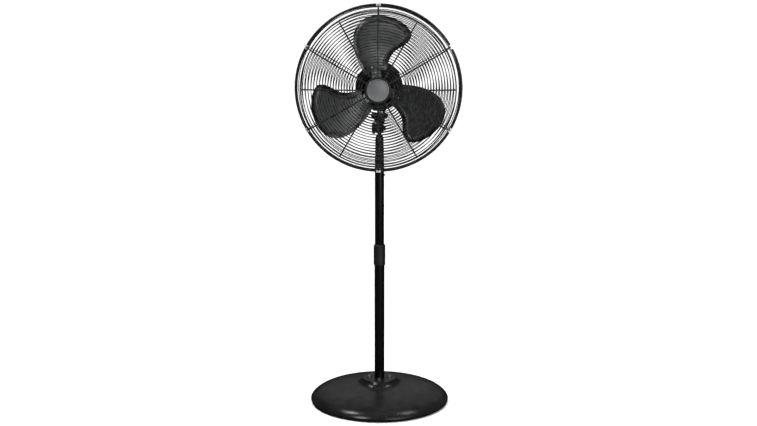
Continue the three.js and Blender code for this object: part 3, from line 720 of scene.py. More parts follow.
dome = smooth_line([(72, 69.2), (82, 65.2), (104, 62.6), (140, 58), (176, 51.5), (206, 42.8),
                    (228, 33.5), (242, 23.5), (base_radius - 1, 15), (base_radius - 0.2, 11.5),
                    (247.5, lip_bottom + 0.6)], 6)
crown = [(pole_hole, crown_top, 0.8), (59.5, crown_top, 2.4), (65, 77.5, 3.0)]
underside = [(244.6, lip_bottom), (247.6, 12), (239, 23.2), (188.5, 45.8), (126.5, 57.8),
             (74.6, 64.7), (64, 74), (61, crown_top - shell_wall - 1),
             (57.6, crown_top - shell_wall), (pole_hole, crown_top - shell_wall)]
base_outline = crown + [tuple(p) for p in dome] + [(246.4, lip_bottom, 0.6)] + underside
base_shell = turned_piece("base_shell", base_outline, "base", "satin_black_paint",
                          ["base_cover"], steps=160)
print("base shell", round(2 * base_radius), "mm across,", len(base_shell.data.vertices), "points")

# %% [markdown]
# A rubber ring under the lip keeps the steel off the floor. Its outer edge is rounded so
# that the base doesn't scuff when it is dragged.

# %% Base ring
ring_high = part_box("base_ring")[1]
outer = ring_high.x / MM
turned_piece("floor_ring", [(222, 0, 0.8), (outer, 0, 1.2), (outer, ring_high.z / MM, 0.8),
                            (222, ring_high.z / MM, 0.8)],
             "base", "black_rubber", ["base_ring"], steps=128)
print("floor ring", round(ring_high.z / MM, 1), "mm thick")

# %% [markdown]
# Four flange bolts hold the crown. A hexagon head has chamfered corners and a skirt
# like a washer, so each bolt is a turned skirt, a six-sided head and a turned cap in one skin.

# %% Flange bolts
def hexagon_head(name, size, body, finish_name, node, axis="z"):
    """A flanged hexagon head: across-corner radius, skirt radius, heights from the seat."""
    low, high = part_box(node)
    middle = (low + high) / 2
    skirt_radius, corner_radius, skirt_height, head_height = size
    bm = bmesh.new()
    rings = [(0.0, 0.0, 0), (skirt_radius, 0.0, 0), (skirt_radius, skirt_height * 0.5, 0),
             (corner_radius * 1.02, skirt_height, 0), (corner_radius, skirt_height, 1),
             (corner_radius, head_height - 0.9, 1), (corner_radius * 0.93, head_height - 0.2, 1),
             (corner_radius * 0.8, head_height, 0), (0.0, head_height, 0)]
    steps = 48

    def hexagon(turn):
        return cos(pi / 6) / cos((turn % (pi / 3)) - pi / 6)

    loops = []
    for radius, height, six in rings:
        if radius == 0:
            loops.append([bm.verts.new((0, 0, height * MM))])
            continue
        loop = []
        for k in range(steps):
            turn = 2 * pi * k / steps
            reach = radius * MM * (hexagon(turn) if six else 1.0)
            loop.append(bm.verts.new((reach * cos(turn), reach * sin(turn), height * MM)))
        loops.append(loop)
    for first, second in zip(loops, loops[1:]):
        for k in range(steps):
            n = (k + 1) % steps
            if len(first) == 1:
                bm.faces.new((first[0], second[n], second[k]))
            elif len(second) == 1:
                bm.faces.new((first[k], first[n], second[0]))
            else:
                bm.faces.new((first[k], first[n], second[n], second[k]))
    if axis == "z":
        seat = (middle.x, middle.y, high.z - head_height * MM)
        matrix = Matrix.Translation(seat)
    else:
        seat = (high.x - head_height * MM, middle.y, middle.z)
        matrix = Matrix.Translation(seat) @ Matrix.Rotation(radians(90), 4, "Y")
    bmesh.ops.transform(bm, matrix=matrix, verts=bm.verts)
    head = as_object(name, bm, 28)
    return finished(head, body, finish_name, node)


for i in range(1, 5):
    hexagon_head(f"crown_bolt_{i}", (9.0, 7.2, 1.8, 7.7), "base", "plain_steel",
                 f"flange_bolt_{i}")
print("four crown bolts")

# %% [markdown]
# ## The column
#
# Two drawn steel tubes slide one in the other. They are plain tubes, with a small round on
# the cut ends and a fine gap where the inner one enters.

# %% Column tubes
def tube_piece(name, node, wall, body, finish_name):
    low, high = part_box(node)
    outer_radius = high.x / MM
    turned_piece(name, [(outer_radius - wall, low.z / MM, 0.4), (outer_radius, low.z / MM, 0.6),
                        (outer_radius, high.z / MM, 0.6),
                        (outer_radius - wall, high.z / MM, 0.4)],
                 body, finish_name, [node], steps=72)
    return outer_radius


lower_radius = tube_piece("outer_tube", "lower_tube", 1.1, "base", "gloss_black_paint")
upper_radius = tube_piece("inner_tube", "upper_tube", 1.6, "column", "gloss_black_paint")
print("tubes of radius", round(lower_radius, 1), "and", round(upper_radius, 1), "mm")

# %% [markdown]
# The height collar is moulded in two halves. The lower half grips the outer tube, the upper
# half is a nut that closes a split ring on the inner tube when it is turned. Fine flutes
# round the nut give the hand something to hold; the ends are chamfered.

# %% Height collar
body_low, body_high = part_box("collar_body")
nut_low, nut_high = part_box("collar_nut")
collar_radius = body_high.x / MM
spigot_radius = 19.2
turned_piece("collar_sleeve",
             [(18.3, body_low.z / MM, 0.5), (collar_radius - 0.6, body_low.z / MM, 0.6),
              (collar_radius, body_low.z / MM + 2.2, 1.2), (collar_radius, nut_low.z / MM - 0.3, 0.8),
              (spigot_radius, nut_low.z / MM - 0.3, 0.2),
              (spigot_radius, body_high.z / MM, 0.3),
              (18.3, body_high.z / MM, 0.3)],
             "base", "black_plastic", ["collar_body"], steps=72)


def grip_flutes(turn, along):
    bottom, top = nut_low.z + 7 * MM, nut_high.z - 8 * MM
    fade = min(1.0, max(0.0, (along - bottom) / (2 * MM)), max(0.0, (top - along) / (2 * MM)))
    return -0.35 * MM * fade * (0.5 + 0.5 * cos(30 * turn))


nut_bottom, nut_top = nut_low.z / MM, nut_high.z / MM
nut_side = [(collar_radius + 0.1, nut_bottom + 7 + i * 2.0) for i in range(18)]
turned_piece("collar_twist_nut",
             [(19.5, nut_bottom, 0.3), (collar_radius + 0.3, nut_bottom, 0.7),
              (collar_radius + 0.3, nut_bottom + 5, 0.5), *nut_side,
              (collar_radius + 0.1, nut_top - 5, 1.0), (collar_radius - 3, nut_top, 1.0),
              (16.8, nut_top, 0.4), (16.8, nut_top - 6), (18.3, nut_top - 9), (19.5, nut_top - 16)],
             "collar_grip", "black_plastic", ["collar_nut"], steps=240, wave=grip_flutes)
print("collar from", round(body_low.z, 3), "to", round(nut_high.z, 3), "m")

# %% [markdown]
# ## Neck post and tilt joint
#
# The neck post is a turned bar with a sleeve that carries on the line of the tube, a taper,
# and a flat tongue milled on its end, which sits between the cheeks of the tilt bracket. Both
# are shaped as solids: round and square stock joined, then slots and bores cut, then every
# sharp edge eased by a narrow bevel, as a fettled casting has.

# %% Neck post
tilt_height = joint_place("tilt")[2]
post_low, post_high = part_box("neck_post")
post_radius = post_high.x
tongue_half, tongue_radius = 7 * MM, 18 * MM
tongue_foot = 960 * MM
tube_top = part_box("upper_tube")[1].z / MM
neck_radius, sleeve_radius, sleeve_top = post_radius / MM, 16.3, 868
neck = turned_solid("neck_casting", [
    (0, post_low.z / MM), (neck_radius, post_low.z / MM), (neck_radius, tube_top + 0.4),
    (sleeve_radius, tube_top + 0.4, 0.4), (sleeve_radius, sleeve_top, 8),
    (neck_radius, tongue_foot / MM, 6), (11.5, 973, 3), (0, 973)])
pivot = (0, 0, tilt_height)
shaped(neck, [drum(tongue_radius, -tongue_half, tongue_half, "x", pivot, 64),
              block((-tongue_half, tongue_half), (-13 * MM, 13 * MM),
                    (tongue_foot, tilt_height))], "UNION")
shaped(neck, [drum(5.3 * MM, -20 * MM, 20 * MM, "x", pivot, 32)], "DIFFERENCE")
finished(eased(neck, 0.9 * MM), "column", "satin_black_paint", "neck_post")
print("neck post, tapered above its sleeve")

# %% Tilt bracket
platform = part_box("tilt_bracket")[1]
cheek_left, cheek_right = -12 * MM, 14 * MM
slot_half = 7.4 * MM
bracket = turned_solid("tilt_yoke", [
    (0, 1012), (17, 1012, 2), (18, 1017, 3), (18, 1028, 6), (30, 1038, 4),
    (30, platform.z / MM, 1.4), (0, platform.z / MM)], steps=72)
cheek_span = (-tongue_radius + 0.1 * MM, tongue_radius - 0.1 * MM)
cheeks = []
for inner, outer_side in ((-slot_half, cheek_left), (slot_half, cheek_right)):
    span = tuple(sorted((inner, outer_side)))
    cheeks.append(drum(tongue_radius, *span, "x", pivot, 64))
    cheeks.append(block(span, cheek_span, (tilt_height, 1020 * MM)))
shaped(bracket, cheeks, "UNION")
shaped(bracket, [
    block((-slot_half, slot_half), (-40 * MM, 40 * MM), (960 * MM, 1018 * MM)),
    drum(23 * MM, -40 * MM, cheek_left, "x", pivot, 64),
    drum(12 * MM, cheek_right, 40 * MM, "x", pivot, 48),
], "DIFFERENCE")
finished(eased(bracket, 0.8 * MM), "tilt_head", "satin_black_paint", "tilt_bracket")
hexagon_head("tilt_bolt_head", (10.5, 9.0, 1.6, 7.7), "tilt_head", "satin_black_paint",
             "tilt_bolt", "x")
print("tilt yoke and bolt")

# %% [markdown]
# The tilt knob is a lobed plastic hand-wheel. Eight lobes come from a wave on the radius of
# a turned outline, deepest at the rim and fading towards the hub, which is close to how such
# a knob is drawn for its mould.

# %% Tilt knob
knob_low, knob_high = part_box("tilt_knob")
knob_radius = (knob_high.y - knob_low.y) / 2
knob_length = (knob_high.x - knob_low.x) / MM
rim = knob_radius / MM


def lobed_knob(name, radius, length, lobes, depth, body, finish_name, node, matrix):
    """A hand knob built along +Z from its seat: hub face, rim with lobes, domed cap."""
    outline = rounded([(0, 0), (radius * 0.62, 0, 1), (radius * 0.7, length * 0.12, 1),
                       (radius, length * 0.16, 1.2), (radius, length * 0.3),
                       (radius, length * 0.55), (radius, length * 0.8, 1.6),
                       (radius * 0.82, length * 0.94, 1.2), (radius * 0.45, length, 1),
                       (radius * 0.4, length - 0.8, 0.4), (0, length - 0.8)])
    bm = bmesh.new()
    steps = 144
    add_turned(bm, millimetres(outline), "z", (0, 0, 0), steps, False)
    for v in bm.verts:
        reach = hypot(v.co.x, v.co.y)
        if reach < radius * 0.78 * MM:
            continue
        share = (reach / MM - radius * 0.78) / (radius * 0.22)
        turn = atan2(v.co.y, v.co.x)
        scale = 1 - depth * MM * share * (0.5 - 0.5 * cos(lobes * turn)) / reach
        v.co.x *= scale
        v.co.y *= scale
    bmesh.ops.transform(bm, matrix=matrix, verts=bm.verts)
    return finished(as_object(name, bm), body, finish_name, node)


knob_matrix = (Matrix.Translation((knob_high.x, 0, tilt_height))
               @ Matrix.Rotation(radians(-90), 4, "Y"))
lobed_knob("tilt_hand_knob", rim, knob_length, 8, 2.6, "tilt_clamp", "black_plastic",
           "tilt_knob", knob_matrix)
print("tilt knob", round(2 * rim), "mm across")

# %% [markdown]
# ## Motor
#
# The motor housing is two pressed bowls that meet at a thin seam. Their sides carry shallow
# cooling flutes, pressed in, so the radius of the turned skin dips in a wave between two
# bands. The cradle underneath is a casting: a round saddle, cut to the curve of the housing.

# %% Motor shells
axis_height = joint_place("rotor_spin")[2]
on_axis = (0, 0, axis_height)
front_low, front_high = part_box("motor_front_shell")
rear_low, rear_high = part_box("motor_rear_shell")
shell_radius = front_high.x / MM
motor_front, motor_split, motor_back = (front_low.y / MM, rear_low.y / MM, rear_high.y / MM)
FLUTES = 40


def cooling_flutes(first, last):
    def wave(turn, along):
        inside = min((along / MM - first) / 3, (last - along / MM) / 3)
        fade = min(1.0, max(0.0, inside))
        return -1.1 * MM * fade * max(0.0, cos(FLUTES * turn)) ** 0.5
    return wave


def spaced(first, last, gap):
    count = ceil((last - first) / gap)
    return [first + (last - first) * i / count for i in range(count + 1)]


flute_rows = [(shell_radius, row) for row in spaced(motor_front + 13, motor_split - 5, 3)]
turned_piece("motor_bowl_front",
             [(8.5, motor_front, 0.4), (63, motor_front, 3), (shell_radius, motor_front + 9, 4),
              *flute_rows, (shell_radius, motor_split - 0.4, 0.5),
              (shell_radius - 3, motor_split - 0.4), (shell_radius - 3, -50), (64, -57),
              (20, -57), (20, -42), (14, -42), (14, -53), (8.5, -53)],
             "head", "satin_black_paint", ["motor_front_shell"], "y", on_axis, 240,
             wave=cooling_flutes(motor_front + 13, motor_split - 5))
flute_rows = [(shell_radius, row) for row in spaced(motor_split + 5, motor_back - 13, 3)]
turned_piece("motor_bowl_rear",
             [(shell_radius - 3, motor_split), (shell_radius, motor_split, 0.5), *flute_rows,
              (shell_radius, motor_back - 9, 4), (64, motor_back, 2), (8.5, motor_back),
              (8.5, 46.5), (14, 46.5), (14, 36), (20, 36), (20, 47), (64, 47),
              (shell_radius - 3, 40)],
             "head", "satin_black_paint", ["motor_rear_shell"], "y", on_axis, 240,
             wave=cooling_flutes(motor_split + 5, motor_back - 13))
print("motor housing", round(2 * shell_radius), "mm across")

# %% Cradle
cradle_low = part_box("motor_cradle")[0].z / MM
cradle = turned_solid("cradle_casting", [
    (0, cradle_low), (9, cradle_low, 1), (9, 1060, 1), (24, 1060, 2), (24, 1090), (0, 1090)])
shaped(cradle, [
    drum(75.5 * MM, -40 * MM, 40 * MM, "y", on_axis, 160),
    drum(5.3 * MM, 1040 * MM, 1067 * MM, "z"),
    drum(2.3 * MM, 1050 * MM, 1078 * MM, "z", (0, -17 * MM, 0), 24),
    drum(2.3 * MM, 1050 * MM, 1078 * MM, "z", (0, 17 * MM, 0), 24),
], "DIFFERENCE")
finished(eased(cradle, 0.6 * MM), "head", "satin_black_paint", "motor_cradle")
print("cradle under the motor")

# %% [markdown]
# Small screws hold the castings. Each is a pan head with a six-sided socket sunk in it: an
# outline spun round, whose inner rings are pulled to a hexagon.

# %% Socket screws
def socket_screw(name, radius, height, seat, direction, body, node):
    """A pan-head screw whose head stands on its seat and points along the direction."""
    outline = [(0, -2.2), (radius * 0.45, -2.2), (radius * 0.98, 0), (radius, height * 0.35),
               (radius * 0.93, height * 0.8), (radius * 0.72, height), (radius * 0.5, height),
               (radius * 0.46, height * 0.45), (0, height * 0.4)]
    bm = bmesh.new()
    add_turned(bm, millimetres(outline), "z", (0, 0, 0), 36, False)
    for v in bm.verts:
        reach = hypot(v.co.x, v.co.y)
        if 0 < reach < radius * 0.55 * MM and v.co.z > 0:
            turn = atan2(v.co.y, v.co.x) % (pi / 3)
            scale = cos(pi / 6) / cos(turn - pi / 6)
            v.co.x *= scale
            v.co.y *= scale
    turned_to = Vector(direction).to_track_quat("Z", "Y").to_matrix().to_4x4()
    bmesh.ops.transform(bm, matrix=Matrix.Translation(seat) @ turned_to, verts=bm.verts)
    replaced = [node] if node else []
    return finished(as_object(name, bm, 28), body, "plain_steel", *replaced)


for i, y in enumerate((-17, 17), 1):
    socket_screw(f"cradle_bolt_{i}", 4.0, 2.4, (0, y * MM, 1059.7 * MM), (0, 0, -1), "head",
                 f"cradle_screw_{i}")
socket_screw("anchor_bolt", 4.5, 2.4, (15 * MM, 0, 1055.2 * MM), (0, 0, 1), "tilt_head",
             "anchor_screw")
set_low, set_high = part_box("neck_set_screw")
socket_screw("neck_lock_screw", 3.6, 2.5, (set_high.x - 2.5 * MM, 0, (set_low.z + set_high.z) / 2),
             (1, 0, 0), "column", "neck_set_screw")
print("four socket screws")

# %% [markdown]
# ## Rear cover
#
# The cover is a moulded bowl over the gearbox. It has holes for the knobs, the crank and the
# cable gland, and rows of slots that let the motor breathe. The slots are cut right through
# the bowl, because a dark stripe would look flat from the side.

# %% Rear cover
cover_low, cover_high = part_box("rear_cover")
cover_front, cover_back = cover_low.y / MM, cover_high.y / MM
knob_low, knob_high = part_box("clutch_knob")
knob_middle = (knob_low + knob_high) / 2
gland_low, gland_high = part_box("cable_gland")
gland_middle = (gland_low + gland_high) / 2
cover_outline = rounded(millimetres([
    (shell_radius - 2.5, cover_front), (shell_radius, cover_front, 0.6),
    (shell_radius, cover_back - 22, 8), (70, cover_back - 10, 8), (56, cover_back, 5),
    (0, cover_back), (0, cover_back - 2.5), (54.5, cover_back - 2.5), (68, cover_back - 12),
    (shell_radius - 2.5, cover_back - 23)]), True)
start_at = next(i for i, point in enumerate(cover_outline) if point[0] < 1e-6)
ordered = cover_outline[start_at + 1:] + cover_outline[:start_at + 1]
cover = solid_of(add_turned, ordered, "y", on_axis, 112, False)
cover.name = "rear_bowl"


def slot_tool(bm, across, height, low, high):
    """A slot with round ends that runs along Y."""
    half, end = across / 2, height / 2
    corners = [(half - end + end * cos(a), end * sin(a))
               for a in [radians(-90 + 30 * i) for i in range(7)]]
    corners += [(-half + end + end * cos(a), end * sin(a))
                for a in [radians(90 + 30 * i) for i in range(7)]]
    return add_prism(bm, corners, low, high)


lie_back = Matrix.Rotation(radians(90), 4, "X")
vents = bmesh.new()
for row in range(5):
    height = 24 + 7 * row
    reach = sqrt(max(50 ** 2 - height ** 2, 0))
    verts = slot_tool(vents, 2 * reach * MM, 3 * MM, -175 * MM, -120 * MM)
    middle = Matrix.Translation((0, 0, axis_height + height * MM))
    bmesh.ops.transform(vents, matrix=middle @ lie_back, verts=verts)
for side in (-1, 1):
    for row in range(4):
        verts = slot_tool(vents, 26 * MM, 2.6 * MM, 60 * MM, 90 * MM)
        turn = Matrix.Rotation(radians(side * (74 + 8 * row)), 4, "Y")
        middle = Matrix.Translation((0, 92 * MM, axis_height))
        along_side = middle @ turn @ Matrix.Rotation(radians(90), 4, "Z")
        bmesh.ops.transform(vents, matrix=along_side, verts=verts)
shaped(cover, [
    as_object("tool", vents),
    drum(5.4 * MM, 1200 * MM, 1230 * MM, "z", (knob_middle.x, knob_middle.y, 0), 32),
    block((-10 * MM, 10 * MM), (85 * MM, 105 * MM), (1060 * MM, 1086 * MM)),
    drum(3.5 * MM, 140 * MM, 155 * MM, "y", on_axis, 32),
    drum(5.3 * MM, 130 * MM, 155 * MM, "y", (0, 0, gland_middle.z), 32),
], "DIFFERENCE")
finished(flat_faces(cover), "head", "satin_black_paint", "rear_cover")
print("rear cover, from", round(cover_front), "to", round(cover_back), "mm behind the pivot")

# %% Cover screws
# Degrees round the axis, then millimetres out from it and below the cover's back.
COVER_SCREWS = [(45, 60, 4.4), (135, 60, 4.4), (225, 47, 1.0), (315, 47, 1.0)]
for i, (around, reach, sunk) in enumerate(COVER_SCREWS, 1):
    turn = radians(around)
    seat = (reach * MM * cos(turn), (cover_back - sunk) * MM, axis_height + reach * MM * sin(turn))
    socket_screw(f"cover_screw_{i}", 3.2, 1.8, seat, (0, 1, 0), "head", None)
print("four cover screws")

# %% [markdown]
# ## Controls
#
# The speed knob has a raised bar across it that points at the setting. The swing knob on top
# is a small fluted button that pulls up. The cable gland is a hexagon nut below a ribbed
# cone that keeps the cord from kinking; the cord itself isn't part of this fan.

# %% Speed knob
dial_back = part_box("speed_knob")[1].y
dial = turned_solid("speed_dial", [
    (0, 130), (3, 130, 0.4), (3, 150.6), (15, 150.6, 0.8), (15, 153.4, 0.8), (13.8, 154.4, 0.5),
    (13.6, 160, 1.2), (0, 160.2)], "y", on_axis, 72)
grip = bmesh.new()
slot_tool(grip, 27.6 * MM, 6 * MM, -dial_back, -157 * MM)
upright = Matrix.Translation(on_axis) @ lie_back @ Matrix.Rotation(radians(90), 4, "Z")
bmesh.ops.transform(grip, matrix=upright, verts=grip.verts)
shaped(dial, [as_object("tool", grip)], "UNION")
finished(eased(dial, 0.6 * MM), "speed_control", "black_plastic", "speed_knob")

# %% Swing knob
KNOB_FLUTES, FLUTE_DEPTH = 20, 0.55 * MM
button = bmesh.new()
button_outline = rounded([(0, 1231.5), (4.6, 1231.5), (4.6, 1224, 0.3), (7, 1224, 0.5),
                          (8.9, 1227, 0.6), (9, 1229), (9, 1234), (8.8, 1237, 1.2),
                          (6.5, 1239, 1.5), (0, 1239)])
add_turned(button, millimetres(button_outline), "z", (knob_middle.x, knob_middle.y, 0), 120,
           False)
for v in button.verts:
    offset = Vector((v.co.x - knob_middle.x, v.co.y - knob_middle.y))
    if offset.length > 7.6 * MM and 1227.5 * MM < v.co.z < 1238.5 * MM:
        turn = atan2(offset.y, offset.x)
        pull = 1 - FLUTE_DEPTH * (0.5 - 0.5 * cos(KNOB_FLUTES * turn)) / offset.length
        v.co.x = knob_middle.x + offset.x * pull
        v.co.y = knob_middle.y + offset.y * pull
finished(as_object("swing_knob", button), "clutch", "black_plastic", "clutch_knob")

# %% Cable gland
gland = bmesh.new()
gland_place = (0, 0, gland_middle.z)
add_turned(gland, millimetres(rounded([
    (3.4, 138), (5, 138, 0.3), (5, 150.3), (7.2, 150.3, 0.4), (7.2, 156.2, 0.5), (6.3, 157.2, 0.5),
    (6.3, 158.6, 0.4), (5.9, 159.2), (6.1, 160.6, 0.4), (5.5, 161.2), (5.8, 162.8, 0.4),
    (5.2, 163.4), (5.4, 165, 0.4), (4.8, 166, 0.3), (3.4, 166, 0.3)], True)),
    "y", gland_place, 48, True)
nut_corners = regular(6, 8.5 * MM, radians(30))
nut_tool = bmesh.new()
add_prism(nut_tool, nut_corners, 150.6 * MM, 155.4 * MM,
          Matrix.Translation(gland_place) @ Matrix.Rotation(radians(-90), 4, "X"))
gland_body = as_object("cord_gland", gland)
shaped(gland_body, [as_object("tool", nut_tool)], "UNION")
shaped(gland_body, [drum(3.4 * MM, 130 * MM, 170 * MM, "y", gland_place, 48)], "DIFFERENCE")
finished(eased(gland_body, 0.25 * MM), "head", "black_plastic", "cable_gland")
print("speed dial, swing knob and gland")

# %% [markdown]
# ## Swing linkage
#
# Under the cover a crank turns and pushes a flat steel link, and because the link's far end
# is fixed to the tilt yoke, the whole head swings. The link is blanked from sheet: a strap
# with a round eye at each end, its edges barely broken.

# %% Crank and link
crank_at, link_pivot = joint_place("crank_turn"), joint_place("link_swing")
pin_offset = 10.6 * MM
crank = turned_solid("crank_plate", [
    (0, 1058), (14.5, 1058, 0.6), (14.5, 1062, 0.6), (7.6, 1062, 1), (7, 1064, 0.5),
    (7, 1076, 0.6), (4.3, 1076), (4.3, 1064.6), (0, 1064.6)], "z", (crank_at[0], crank_at[1], 0))
pin_at = (crank_at[0] + pin_offset, crank_at[1], 0)
shaped(crank, [drum(2 * MM, 1047.8 * MM, 1059 * MM, "z", pin_at, 32),
               drum(7.5 * MM, 1047.8 * MM, 1049.6 * MM, "z", pin_at, 48)], "UNION")
finished(eased(crank, 0.3 * MM), "crank", "plain_steel", "crank_disc")

LINK_LENGTH, LINK_TURN, LINK_WALL = 95.2 * MM, radians(94.5), 2.6 * MM
strap_bottom = 1051.4 * MM
far_eye = (link_pivot[0] + LINK_LENGTH * cos(LINK_TURN), LINK_LENGTH * sin(LINK_TURN), 0)
near_eye = (link_pivot[0], 0, 0)
link = drum(4.6 * MM, strap_bottom, strap_bottom + LINK_WALL, "z", near_eye, 48)
link.name = "swing_link"
strap = bmesh.new()
corners = [(0, -3 * MM), (LINK_LENGTH, -3 * MM), (LINK_LENGTH, 3 * MM), (0, 3 * MM)]
add_prism(strap, corners, strap_bottom, strap_bottom + LINK_WALL,
          Matrix.Translation(near_eye) @ Matrix.Rotation(LINK_TURN, 4, "Z"))
shaped(link, [as_object("tool", strap),
              drum(8.4 * MM, strap_bottom, strap_bottom + LINK_WALL, "z", far_eye, 64)], "UNION")
shaped(link, [drum(2.5 * MM, 1.04, 1.06, "z", near_eye, 32),
              drum(5.9 * MM, 1.04, 1.06, "z", far_eye, 48)], "DIFFERENCE")
finished(eased(link, 0.25 * MM), "link", "plain_steel", "link_arm")
print("link of", round(LINK_LENGTH / MM, 1), "mm")

# %% [markdown]
# ## Blades
#
# A blade is pressed from thin sheet: a twisted, slightly crowned surface with a stiffening
# bead that runs some way in from its edge. The surface is one function of two numbers, how far
# across from the leading edge and how far out from the root. A fine grid of points, closer
# together near the edges, follows it, and the bead is a smooth ridge set by each point's
# distance from the edge.

# %% The blade's surface
BLADE_ROOT, BLADE_CORNER = 64, 210
LEADING = [(64, 67.5), (101, 69.5), (132, 67), (159, 61), (186, 57.4), (210, 58)]
TRAILING = [(64, 133), (112, 126.5), (152, 121.5), (186, 116.5), (210, 112)]
TIP = [(58, 210), (63, 223), (71, 234), (80, 241), (91, 245), (101, 239), (107, 226), (112, 210)]
SHEET = 1.8


def smooth_table(table):
    line = smooth_line([(a, b) for a, b in table], 10)

    def read(value):
        for (a, low), (b, high) in zip(line, line[1:]):
            if value <= b:
                return low + (high - low) * (value - a) / (b - a)
        return line[-1][1]
    return read


lead_at, trail_at, tip_at = smooth_table(LEADING), smooth_table(TRAILING), smooth_table(TIP)


def blade_point(across, out):
    """A point of the first blade's middle surface, in millimetres about the motor's axis."""
    edge = BLADE_ROOT + (BLADE_CORNER - BLADE_ROOT) * out
    lead, trail = lead_at(edge), trail_at(edge)
    tip = tip_at(58 + 54 * across)
    turn = radians(lead + (trail - lead) * across)
    reach = BLADE_ROOT + (tip - BLADE_ROOT) * out
    pitch = 20 + 14 * out
    y = -130 + (1 - 2 * across) * pitch + 5 * sin(pi * across)
    return Vector((reach * cos(turn), y, reach * sin(turn)))


def edge_spacing(near, total, fine=1.6, coarse=5.0):
    """Shares from 0 to 1, close together within `near` of both ends."""
    zone = near / total
    fine_steps = max(2, round(near / fine))
    middle_steps = max(2, round((total - 2 * near) / coarse))
    first = [zone * i / fine_steps for i in range(fine_steps)]
    middle = [zone + (1 - 2 * zone) * i / middle_steps for i in range(middle_steps + 1)]
    return first + middle + [1 - x for x in reversed(first)]


BEAD_INSET, BEAD_HEIGHT, BEAD_WIDTH = 14.5, 3.0, 3.2
FLANGE_WIDTH, FLANGE_DROP = 9.0, 3.2
across_steps = edge_spacing(24, 190)
out_steps = edge_spacing(24, 172)
rim_line = ([blade_point(0, k / 60) for k in range(61)]
            + [blade_point(k / 60, 1) for k in range(1, 61)]
            + [blade_point(1, 1 - k / 60) for k in range(1, 61)])


def rim_distance(spot):
    nearest = 1e9
    for a, b in zip(rim_line, rim_line[1:]):
        along = b - a
        t = min(1.0, max(0.0, (spot - a).dot(along) / along.length_squared))
        nearest = min(nearest, (spot - a - along * t).length)
    return nearest


def bead_at(spot):
    distance = rim_distance(spot)
    reach = hypot(spot.x, spot.z)
    fade = min(1.0, max(0.0, (reach - BLADE_ROOT - 14) / 12))
    ridge = BEAD_HEIGHT * exp(-((distance - BEAD_INSET) / BEAD_WIDTH) ** 2)
    fall = FLANGE_DROP * max(0.0, 1 - distance / FLANGE_WIDTH) ** 1.5
    return fade * (ridge - fall)


def blade_mesh():
    bm = bmesh.new()
    front, back = [], []
    for out in out_steps:
        row_front, row_back = [], []
        for across in across_steps:
            spot = blade_point(across, out)
            raise_by = bead_at(spot)
            front_spot = spot + Vector((0, -SHEET / 2 - raise_by, 0))
            back_spot = spot + Vector((0, SHEET / 2 - raise_by, 0))
            row_front.append(bm.verts.new(front_spot * MM))
            row_back.append(bm.verts.new(back_spot * MM))
        front.append(row_front)
        back.append(row_back)
    rows, columns = len(out_steps), len(across_steps)
    for i in range(rows - 1):
        for k in range(columns - 1):
            bm.faces.new((front[i][k], front[i][k + 1], front[i + 1][k + 1], front[i + 1][k]))
            bm.faces.new((back[i][k], back[i + 1][k], back[i + 1][k + 1], back[i][k + 1]))
    border = ([(0, k) for k in range(columns)] + [(i, columns - 1) for i in range(1, rows)]
              + [(rows - 1, k) for k in range(columns - 2, -1, -1)]
              + [(i, 0) for i in range(rows - 2, 0, -1)])
    middle_of_blade = blade_point(0.5, 0.5)
    rim = []
    for i, k in border:
        spot = blade_point(across_steps[k], out_steps[i])
        outward = spot - middle_of_blade
        outward.y = 0
        rim.append(bm.verts.new((spot + outward.normalized() * 0.6) * MM))
    for n, (i, k) in enumerate(border):
        m = (n + 1) % len(border)
        j, l = border[m]
        bm.faces.new((front[i][k], rim[n], rim[m], front[j][l]))
        bm.faces.new((rim[n], back[i][k], back[j][l], rim[m]))
    return bm


print("blade grid", len(across_steps), "by", len(out_steps))

# %% The three blades
def third_of_turn(i, extra=0.0):
    """Carries a shape made about the axis to the place of one of the three blades."""
    return Matrix.Translation(on_axis) @ Matrix.Rotation(radians(-120 * i - extra), 4, "Y")


blade_shape = blade_mesh()
for i in range(3):
    blade = as_object(f"fan_blade_{i + 1}", blade_shape.copy(), 50)
    blade.data.transform(third_of_turn(i))
    finished(blade, "rotor", "blade_metal", f"blade_{i + 1}")
print("three blades,", len(blade_shape.verts), "points each")
blade_shape.free()

# %% [markdown]
# The leading edge and the tip of each blade are folded over into a narrow hem, which stiffens
# the sheet and hides its sharp edge. The hem is painted black as painted shade: it stands for
# the dark line where the rolled edge turns away from the light. It follows the edge of the
# blade, starts narrow near the root and runs out again towards the trailing corner.

# %% Blade hems, black as painted shade
HEM_WIDTH, HEM_THICK = 10.0, 0.6
HEM_SHARES = (1.0, 0.7, 0.45, 0.22)      # of the width, from the inner border to the edge
HEM_ROOT, HEM_END = 0.2, 0.86
hem_route = ([(0, HEM_ROOT + (1 - HEM_ROOT) * k / 50) for k in range(51)]
             + [(HEM_END * k / 50, 1) for k in range(1, 51)])


def hem_inner(across, out, width):
    """The place on the blade that lies one hem width inside its edge."""
    chord = (blade_point(1, out) - blade_point(0, out)).length
    length = (blade_point(across, 1) - blade_point(across, 0)).length
    return max(across, width / chord), min(out, 1 - width / length)


